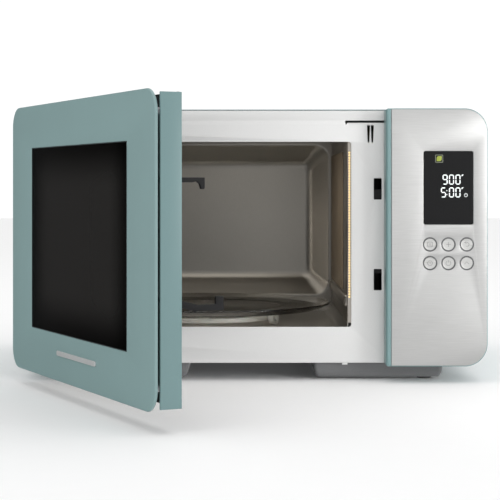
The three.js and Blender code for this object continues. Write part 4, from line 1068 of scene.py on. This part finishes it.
def display_window():
    """The black glass with its lit time and power, a clock mark and a small indicator."""
    pane = plate("display_glass", rounded(*front_box(display), 2 * mm, 8), [], "xz",
                 display.low.y, display.high.y, 0.35 * mm, 3)
    dress(pane, "black_glass", "chassis", "display_window")
    width = 5.6 * mm
    height = 11 * mm
    stroke = 1.2 * mm
    pitch = 7 * mm
    right_edge = display.high.x - 13.7 * mm
    loops = []
    rows = (bottom + 198 * mm, bottom + 184 * mm)
    for base, digits, first_shift in zip(rows, ("900", "500"), (0, 1.8 * mm)):
        for index, digit in enumerate(digits):
            x = right_edge - (2 - index) * pitch - width - (first_shift if index == 0 else 0)
            loops += segment_digit(x, base, width, height, stroke, SEGMENTS[digit])
    colon_x = right_edge - 2 * pitch - 0.9 * mm
    for rise in (3.2 * mm, 7.4 * mm):
        loops.append(ring(colon_x, rows[1] + rise, 0.6 * mm, 12))
    mark_x = right_edge + 0.9 * mm
    for row_base in rows:
        mark_z = row_base + height - 1.9 * mm
        loops.append([(mark_x, mark_z), (mark_x + 0.8 * mm, mark_z), (mark_x + 2.6 * mm, mark_z + 1.9 * mm),
                      (mark_x + 0.5 * mm, mark_z + 1.9 * mm)])
    printed("display_digits", loops, "digit_white")
    clock = (display.high.x - 7.9 * mm, bottom + 186.6 * mm)
    radius = 2 * mm
    rim = print_mark("clock_rim", ring(*clock, radius, 32), [ring(*clock, radius - 0.45 * mm, 32)])
    half = 0.18 * mm
    hand = print_mark("clock_hand", rounded(clock[0] - half, clock[0] + half, clock[1], clock[1] + 1.3 * mm,
                                            0.1 * mm, 2))
    dress(join("display_clock_mark", [rim, hand]), "digit_white", "chassis")
    size = 8.5 * mm
    x = display.low.x + 12.5 * mm
    z = display.high.z - 3.7 * mm - size
    hole = inset_box((x, x + size, z, z + size), 0.6 * mm)
    frame_mark = print_mark("display_indicator", rounded(x, x + size, z, z + size, 0.8 * mm, 4),
                            [rounded(*hole, 0.4 * mm, 4)])
    dress(frame_mark, "icon_grey", "chassis")
    tip = 0.3 * mm
    curve = 2.4 * mm
    leaf = rounded(*inset_box((x, x + size, z, z + size), 1.5 * mm), [tip, curve, tip, curve], 6)
    printed("display_indicator_leaf", [leaf], "icon_green")


def icon_lines(name, x, z):
    """The line work of a button's mark, about its middle."""
    r = 2.6 * mm
    if name == "button_defrost":
        return [rounded(x - r, x + r, z - r, z + r, 0.8 * mm, 4) + [(x - r, z - r + 0.8 * mm)],
                [(x - 1.2 * mm, z + 0.6 * mm), (x + 1.2 * mm, z + 0.6 * mm)],
                [(x - 1.2 * mm, z - 0.7 * mm), (x + 1.2 * mm, z - 0.7 * mm)]]
    if name == "button_plus":
        return [[(x - r, z), (x + r, z)], [(x, z - r), (x, z + r)]]
    if name == "button_back":
        return [arc(x + 0.4 * mm, z, r * 0.8, -120, 100, 16) + [(x - r * 0.9, z + r * 0.8)],
                [(x - r * 0.2, z + r * 1.3), (x - r * 0.9, z + r * 0.8), (x - r * 0.2, z + r * 0.3)]]
    if name == "button_clock":
        return [ring(x, z, r, 28) + [(x + r, z)], [(x, z + r * 0.6), (x, z), (x + r * 0.45, z)]]
    if name == "button_power":
        return [arc(x, z, r, 120, 420, 28), [(x, z + r * 0.3), (x, z + r * 1.25)]]
    return [[(x - r, z - r * 0.45), (x, z + r * 0.55), (x + r, z - r * 0.45)]]


def button_gap_shade():
    """Grey rings filling the gaps round the caps: painted shade of the gaps."""
    pieces = []
    for name in buttons:
        spot = place(name)
        pieces.append(plate("ring", ring(spot.mid.x, spot.mid.z, 7.95 * mm, 48),
                            [ring(spot.mid.x, spot.mid.z, 7.2 * mm, 48)], "xz",
                            fascia.low.y + 0.15 * mm, fascia.high.y + 0.15 * mm, 0.05 * mm, 1))
    dress(join("button_gap_shade", pieces), "ring_grey", "chassis")


def push_buttons():
    """The six steel caps, each with its collar and stem, and its mark."""
    for name in buttons:
        spot = place(name)
        radius = 7.1 * mm
        face = spot.low.y
        collar = fascia.high.y + gap + 3 * mm
        collar_radius = radius + 1.5 * mm
        collar_back = collar + 1.2 * mm
        stem = 2.5 * mm
        profile = [(0, face + 0.12 * mm), (radius - 1.6 * mm, face + 0.1 * mm), (radius - 1.1 * mm, face),
                   (radius - 0.8 * mm, face), (radius - 0.6 * mm, face + 0.4 * mm),
                   (radius, face + 0.5 * mm), (radius, collar), (collar_radius, collar),
                   (collar_radius, collar_back), (stem, collar_back), (stem, spot.high.y), (0, spot.high.y)]
        cap = turned(name + "_cap", soften(profile, 0.15 * mm), "y", (spot.mid.x, 0, spot.mid.z), 64)
        dress(cap, "button_steel", name, name)
        y = face + 0.1 * mm
        band = plate(name + "_ring", ring(spot.mid.x, spot.mid.z, radius - 0.1 * mm, 64),
                     [ring(spot.mid.x, spot.mid.z, radius - 0.75 * mm, 64)], "xz", face - 0.03 * mm,
                     face + 0.6 * mm, 0.02 * mm, 1)
        dress(band, "ring_grey", name)
        strokes = [wire("stroke", [(u, y, v) for u, v in line], 0.2 * mm, 1)
                   for line in icon_lines(name, spot.mid.x, spot.mid.z)]
        dress(join(name + "_mark", strokes), "icon_ink", name)


# ---------------------------------------------------------------- door, laid out closed

door_corner = 21 * mm
door_skin = 3 * mm
window = (
    screen.low.x - gap + 9 * mm,
    screen.high.x + gap - 9 * mm,
    screen.low.z - gap + 8 * mm,
    screen.high.z + gap - 8 * mm,
)


def door_front():
    """The glass front: a painted border with a rounded edge, and the dark window in its middle."""
    border = plate("door_front_border", rounded(*front_box(front_glass), door_corner, corner_steps),
                   [rounded(*window, 0.3 * mm, 2)], "xz", front_glass.low.y, front_glass.high.y, 1.3 * mm, 6)
    dress_door(border, "teal_glass_painted_light", "door_glass")
    pane = plate("door_window", rounded(*inset_box(window, -2 * mm), 0.4 * mm, 2), [], "xz",
                 front_glass.low.y + 0.35 * mm, front_glass.high.y - 0.1 * mm, 0.1 * mm)
    dress_door(pane, "window_glass")
    line = plate("door_window_edge", rounded(*inset_box(window, -0.2 * mm), 0.5 * mm, 2),
                 [rounded(*inset_box(window, 0.4 * mm), 0.2 * mm, 2)],
                 "xz", front_glass.low.y + 0.1 * mm, front_glass.low.y + 0.6 * mm, 0.1 * mm)
    dress_door(line, "shadow_gap")
    bar = plate("door_badge_bar", rounded(*front_box(badge), 2 * mm - 1e-6, 10), [], "xz",
                badge.low.y, badge.high.y + gap, 0.4 * mm, 4)
    dress_door(bar, "satin_silver", "door_badge")


def door_frame():
    """The moulded door body: inset neck behind the glass, and skins on the top, hinge side and bottom."""
    x0, x1, z0, z1 = front_box(door_shell)
    web_front = door_shell.low.y
    web_back = web_front + 1.6 * mm
    inset = 0.4 * mm
    view = [rounded(*inset_box(window, -5 * mm), 2 * mm, 4)]
    neck_outline = rounded(*inset_box((x0, x1, z0, z1), inset), door_corner - inset, corner_steps)
    web = plate("web", neck_outline, view, "xz", web_front, web_back, 0.1 * mm)
    free = 3 * mm
    turn_out = door_corner - mm
    turn_in = turn_out - door_skin
    low_turn = (x0 + turn_out, z0 + turn_out)
    high_turn = (x0 + turn_out, z1 - turn_out)
    outside = [(x1 - free * 0.3, z0)]
    outside += reversed(arc(*low_turn, turn_out, 180, 270, corner_steps))
    outside += reversed(arc(*high_turn, turn_out, 90, 180, corner_steps))
    outside += [(x1 - free * 0.3, z1), (x1, z1 - free * 0.3), (x1, z1 - door_skin)]
    inside = arc(*high_turn, turn_in, 90, 180, corner_steps)
    inside += arc(*low_turn, turn_in, 180, 270, corner_steps)
    inside += [(x1, z0 + door_skin), (x1, z0 + free * 0.3)]
    skins = plate("skins", list(reversed(outside + inside)), [], "xz",
                  web_front + 1.5 * mm, door_shell.high.y,
                  0.5 * mm, 3)
    face_corners = [door_corner - 1.5 * mm, 0.2 * mm, 0.2 * mm, door_corner - 1.5 * mm]
    face_outline = rounded(x0 + 0.6 * mm, side_cap.low.x - 0.2 * mm, z0 + 0.6 * mm, z1 - 0.6 * mm,
                           face_corners, corner_steps)
    face = plate("face", face_outline, view, "xz", web_back - 0.2 * mm, web_back + 0.3 * mm, 0.1 * mm)
    whole = join("door_body", [web, skins, face])
    notches = hinge_notches(x0 - 2 * mm, web_front - 1 * mm, door_shell.high.y + 2 * mm, 0.1 * mm)
    pieces = [carve(whole, notches)]
    for level in hinge_levels:
        for side in (-1, 1):
            near = level + side * 3.5 * mm
            far = near + side * 8 * mm
            profile = [(2.9 * mm, near), (5.2 * mm, near), (5.2 * mm, far), (2.9 * mm, far), (2.9 * mm, near)]
            pieces.append(turned("boss", soften(profile, 0.3 * mm), "z", (*hinge_point.xy, 0), 32))
    whole = join("door_body", pieces)
    dress_door(whole, "teal_paint", "door_frame")


def hinge_notches(low_x, low_y, high_y, bevel):
    """Cutters for the hinge arms' notches, one at each hinge."""
    far_x = hinge_point.x + notch_reach
    return [block("notch", (low_x, low_y, level - notch_half), (far_x, high_y, level + notch_half), bevel)
            for level in hinge_levels]


def door_cap():
    """The cap on the door's free edge, with the pins the hooks turn on."""
    joint = 0.4 * mm
    strip = block("strip", (side_cap.high.x - 2.6 * mm, side_cap.low.y, side_cap.low.z + joint),
                  side_cap.high - Vector((0, 0, joint)), 0.35 * mm, 3)
    pieces = [strip]
    for hook in (upper_hook, lower_hook):
        pivot_z = pivots[hook]
        pin_low = hook.low.x - 1.4 * mm
        pin_high = side_cap.high.x - 2 * mm
        profile = [(0, pin_low), (1.9 * mm, pin_low), (1.9 * mm, pin_high), (0, pin_high)]
        pieces.append(turned("pin", profile, "x", (0, hook_pivot_y, pivot_z), 24))
    dress_door(join("door_edge_cap", pieces), "teal_paint", "door_side_cap")


hook_pivot_y = fascia.low.y + 12 * mm
pivots = {upper_hook: upper_slot_z + 7.6 * mm, lower_hook: lower_slot_z + 4.6 * mm}


def inner_door_cover():
    """The black cover over the choke: a raised rim round the window, slots for the hooks."""
    corner = door_corner - door_skin
    x0, x1, z0, z1 = front_box(inner_cover)
    edge = rounded(x0, x1, z0, z1, [corner, 0.4 * mm, 0.4 * mm, corner], corner_steps)
    view = rounded(*inset_box(window, -3 * mm), 4 * mm, 6)
    hook_mid = (upper_hook.low.x + upper_hook.high.x) / 2
    holes = [view]
    for low, high in ((upper_slot_z + 3.5 * mm, upper_slot_z + 13 * mm),
                      (lower_slot_z - 6 * mm, lower_slot_z + 9.5 * mm)):
        holes.append(rounded(hook_mid - 2.2 * mm, hook_mid + 2.2 * mm, low, high, 0.4 * mm, 3))
    cover = plate("cover", edge, holes, "xz", inner_cover.low.y, inner_cover.high.y - 0.7 * mm, 0.3 * mm)
    step_in = 10 * mm
    raised = plate("raised", rounded(x0 + step_in + 2 * mm, x1 - step_in - 8 * mm, z0 + step_in, z1 - step_in,
                                     [corner, 4 * mm, 4 * mm, corner], corner_steps), [view], "xz",
                   inner_cover.low.y + 0.5 * mm, inner_cover.high.y, 0.6 * mm, 3)
    past = 2 * mm
    carve(cover, hinge_notches(x0 - 3 * mm, inner_cover.low.y - past, inner_cover.high.y + past, 0.3 * mm))
    dress_door(join("door_inside_cover", [cover, raised]), "inner_cover", "door_inner_cover")


def door_hooks():
    """The two latch hooks: bars with a tooth, hung on the cap's pins."""
    upper_reach = upper_hook.high.y
    lower_reach = lower_hook.high.y
    pivot = (hook_pivot_y, pivots[upper_hook])
    bar_top = upper_slot_z + 10.2 * mm
    bar_low = upper_slot_z + 5.9 * mm
    side = [(hook_pivot_y, bar_low), (upper_reach - 12 * mm, bar_low),
            (upper_reach - 8 * mm, bar_low + 0.8 * mm),
            (upper_reach - 5.2 * mm, bar_low - 1 * mm), (upper_reach - 3.6 * mm, upper_slot_z),
            (upper_reach - 0.4 * mm, upper_slot_z), (upper_reach, upper_slot_z + 1 * mm),
            (upper_reach, bar_top),
            (hook_pivot_y, bar_top)]
    hook_piece("latch_hook_upper", upper_hook, side, pivot)
    pivot = (hook_pivot_y, pivots[lower_hook])
    bar_top = lower_slot_z - 0.7 * mm
    bar_low = lower_slot_z - 6.3 * mm
    tooth = lower_slot_z + 6.3 * mm
    side = [(hook_pivot_y, pivot[1] - 3 * mm), (fascia.low.y + 40 * mm, bar_low), (lower_reach, bar_low),
            (lower_reach, tooth - 1 * mm), (lower_reach - 0.6 * mm, tooth), (lower_reach - 6.5 * mm, tooth),
            (lower_reach - 7.5 * mm, tooth - 1 * mm), (lower_reach - 7.5 * mm, bar_top),
            (fascia.low.y + 43 * mm, bar_top), (hook_pivot_y, pivot[1] + 3 * mm)]
    hook_piece("latch_hook_lower", lower_hook, side, pivot)


def hook_piece(node, spot, side, pivot):
    """A hook's bar with soft corners, joined to its bored hub."""
    blade = plate("blade", soften_loop(side, 0.7 * mm, 4), [], "yz",
                  spot.low.x, spot.high.x, 0.4 * mm, 3)
    bore = 2.3 * mm
    hub = plate("hub", ring(*pivot, 5 * mm, 40), [ring(*pivot, bore, 24)], "yz", spot.low.x, spot.high.x,
                0.4 * mm, 3)
    drill = turned("drill", [(0, spot.low.x - mm), (bore, spot.low.x - mm), (bore, spot.high.x + mm),
                             (0, spot.high.x + mm)], "x", (0, pivot[0], pivot[1]), 24)
    carve(blade, [drill])
    dress_door(join(node + "_bar", [blade, hub]), "black_plastic", node, node)


def latch_spring():
    """The coiled spring that draws the hooks together, each end led straight in to its axis."""
    centre = (spring.mid.x, spring.mid.y)
    coil_low = spring.low.z + 8 * mm
    coil_high = spring.high.z - 8 * mm
    turns = 46
    per_turn = 12
    radius = 2.05 * mm
    points = [(centre[0], centre[1], spring.low.z)]
    total = turns * per_turn
    for i in range(total + 1):
        angle = 2 * math.pi * i / per_turn
        z = coil_low + (coil_high - coil_low) * i / total
        points.append((centre[0] + radius * math.cos(angle), centre[1] + radius * math.sin(angle), z))
    points.append((centre[0], centre[1], spring.high.z))
    coil = wire("latch_spring_coil", points, 0.3 * mm, 1)
    dress_door(coil, "zinc", "latch_spring")


# ---------------------------------------------------------------- stage


def stage():
    """A wide pale floor and soft studio light."""
    reach = 9.0
    rings = [[(x, y, 0.0) for y in (-reach, 0.0, reach)] for x in (-reach, reach)]
    floor = loft("studio_floor", rings, closed=False, degrees=80)
    floor.data.materials.append(looks["floor"])
    floor.visible_glossy = False
    world = bpy.data.worlds.new("studio")
    world.use_nodes = True
    nodes = world.node_tree.nodes
    links = world.node_tree.links
    background = nodes["Background"]
    background.inputs["Color"].default_value = (1.0, 1.0, 1.0, 1.0)
    scene.world = world
    # The studio is white but for a dark side behind the oven's left, which only reflections show.
    facing = nodes.new("ShaderNodeVectorMath")
    facing.operation = "DOT_PRODUCT"
    facing.inputs[1].default_value = (-0.80, 0.60, 0.0)
    links.new(nodes.new("ShaderNodeTexCoord").outputs["Generated"], facing.inputs[0])
    shade = ranged(world.node_tree, facing.outputs["Value"], smooth=True, from_min=0.2, from_max=0.85,
                   to_min=0.92, to_max=0.03)
    path = nodes.new("ShaderNodeLightPath")
    lit = nodes.new("ShaderNodeMix")
    lit.inputs["A"].default_value = 0.98
    links.new(path.outputs["Is Glossy Ray"], lit.inputs["Factor"])
    links.new(shade, lit.inputs["B"])
    seen = nodes.new("ShaderNodeMix")
    seen.inputs["B"].default_value = 1.05
    links.new(path.outputs["Is Camera Ray"], seen.inputs["Factor"])
    links.new(lit.outputs["Result"], seen.inputs["A"])
    links.new(seen.outputs["Result"], background.inputs["Strength"])
    scene.view_settings.view_transform = "Standard"
    lamp("key", (-1.6, -1.6, 2.0), (0.0, 0.0, 0.12), 1.2, 2)
    lamp("right_card", (0.95, -0.7, 0.3), (0.26, 0.0, 0.16), 0.4, 0.8, 60)
    lamp("top", (0.0, 0.2, 2.6), (0.0, 0.1, 0.0), 2.4, 9)
    oven_glow((turntable_x, turntable_y - 40 * mm, ceiling.low.z - 4 * mm), 0.2, 0.16)


def area_light(name, spot, size, power):
    """A square light that shines down from a place."""
    light = bpy.data.lights.new(name, "AREA")
    light.shape = "SQUARE"
    light.size = size
    light.energy = power
    holder = bpy.data.objects.new(name, light)
    holder.location = spot
    scene.collection.objects.link(holder)
    return holder


def oven_glow(spot, size, power):
    """The warm light under the cavity's ceiling."""
    area_light("oven_glow", spot, size, power).data.color = (1.0, 0.96, 0.9)


def lamp(name, spot, target, size, power, spread=180):
    """A soft studio light turned to a target; a smaller spread narrows it, in degrees."""
    holder = area_light(name, spot, size, power)
    holder.data.spread = math.radians(spread)
    aim = Vector(target) - Vector(spot)
    holder.rotation_euler = aim.to_track_quat("-Z", "Y").to_euler()


def camera():
    """The photograph's view: level, straight ahead, framed by a small shift."""
    view = bpy.data.cameras.new("view")
    view.sensor_width = 36
    view.lens = 108.9
    view.shift_x = 0.005
    view.shift_y = -0.1236
    view.dof.use_dof = False
    holder = bpy.data.objects.new("view", view)
    holder.location = ((left + right) / 2 - 4 * mm, fascia.low.y - 1.645, bottom + 194.1 * mm)
    holder.rotation_euler = (math.radians(90), 0, 0)
    scene.collection.objects.link(holder)
    scene.camera = holder


# ---------------------------------------------------------------- assembly

camera()
stage()

outer_casing()
rear_panel()
base_pan()
feet()
front_frame()

cavity_floor()
cavity_sides()
cavity_back()
mica_cover()
glass_plate()
roller_ring()

panel_housing()
panel_fascia()
display_window()
button_gap_shade()
push_buttons()

door_front()
door_frame()
door_cap()
inner_door_cover()
door_hooks()
latch_spring()

# CAD pieces whose shapes are right keep them and take these finishes.
KEPT = {
    "cavity_steel": ["cavity_ceiling"],
    "white_plastic": ["turntable_coupler", "fan_shroud", "fan_blade", "lamp_holder"],
    "zinc": ["turntable_motor", "waveguide", "magnetron", "high_voltage_capacitor", "hinge_bracket_upper",
             "hinge_bracket_lower", "door_choke_frame"],
    "dark_steel": ["high_voltage_transformer", "fan_motor"],
    "lamp_glass": ["oven_lamp"],
    "circuit": ["mains_filter_board", "control_board"],
    "black_plastic": ["latch_board", "door_switch_upper", "door_switch_lower"],
    "screen": ["door_screen"],
    "window_film": ["door_inner_window"],
}
for look, nodes in KEPT.items():
    for node in nodes:
        finish_node(node, look)
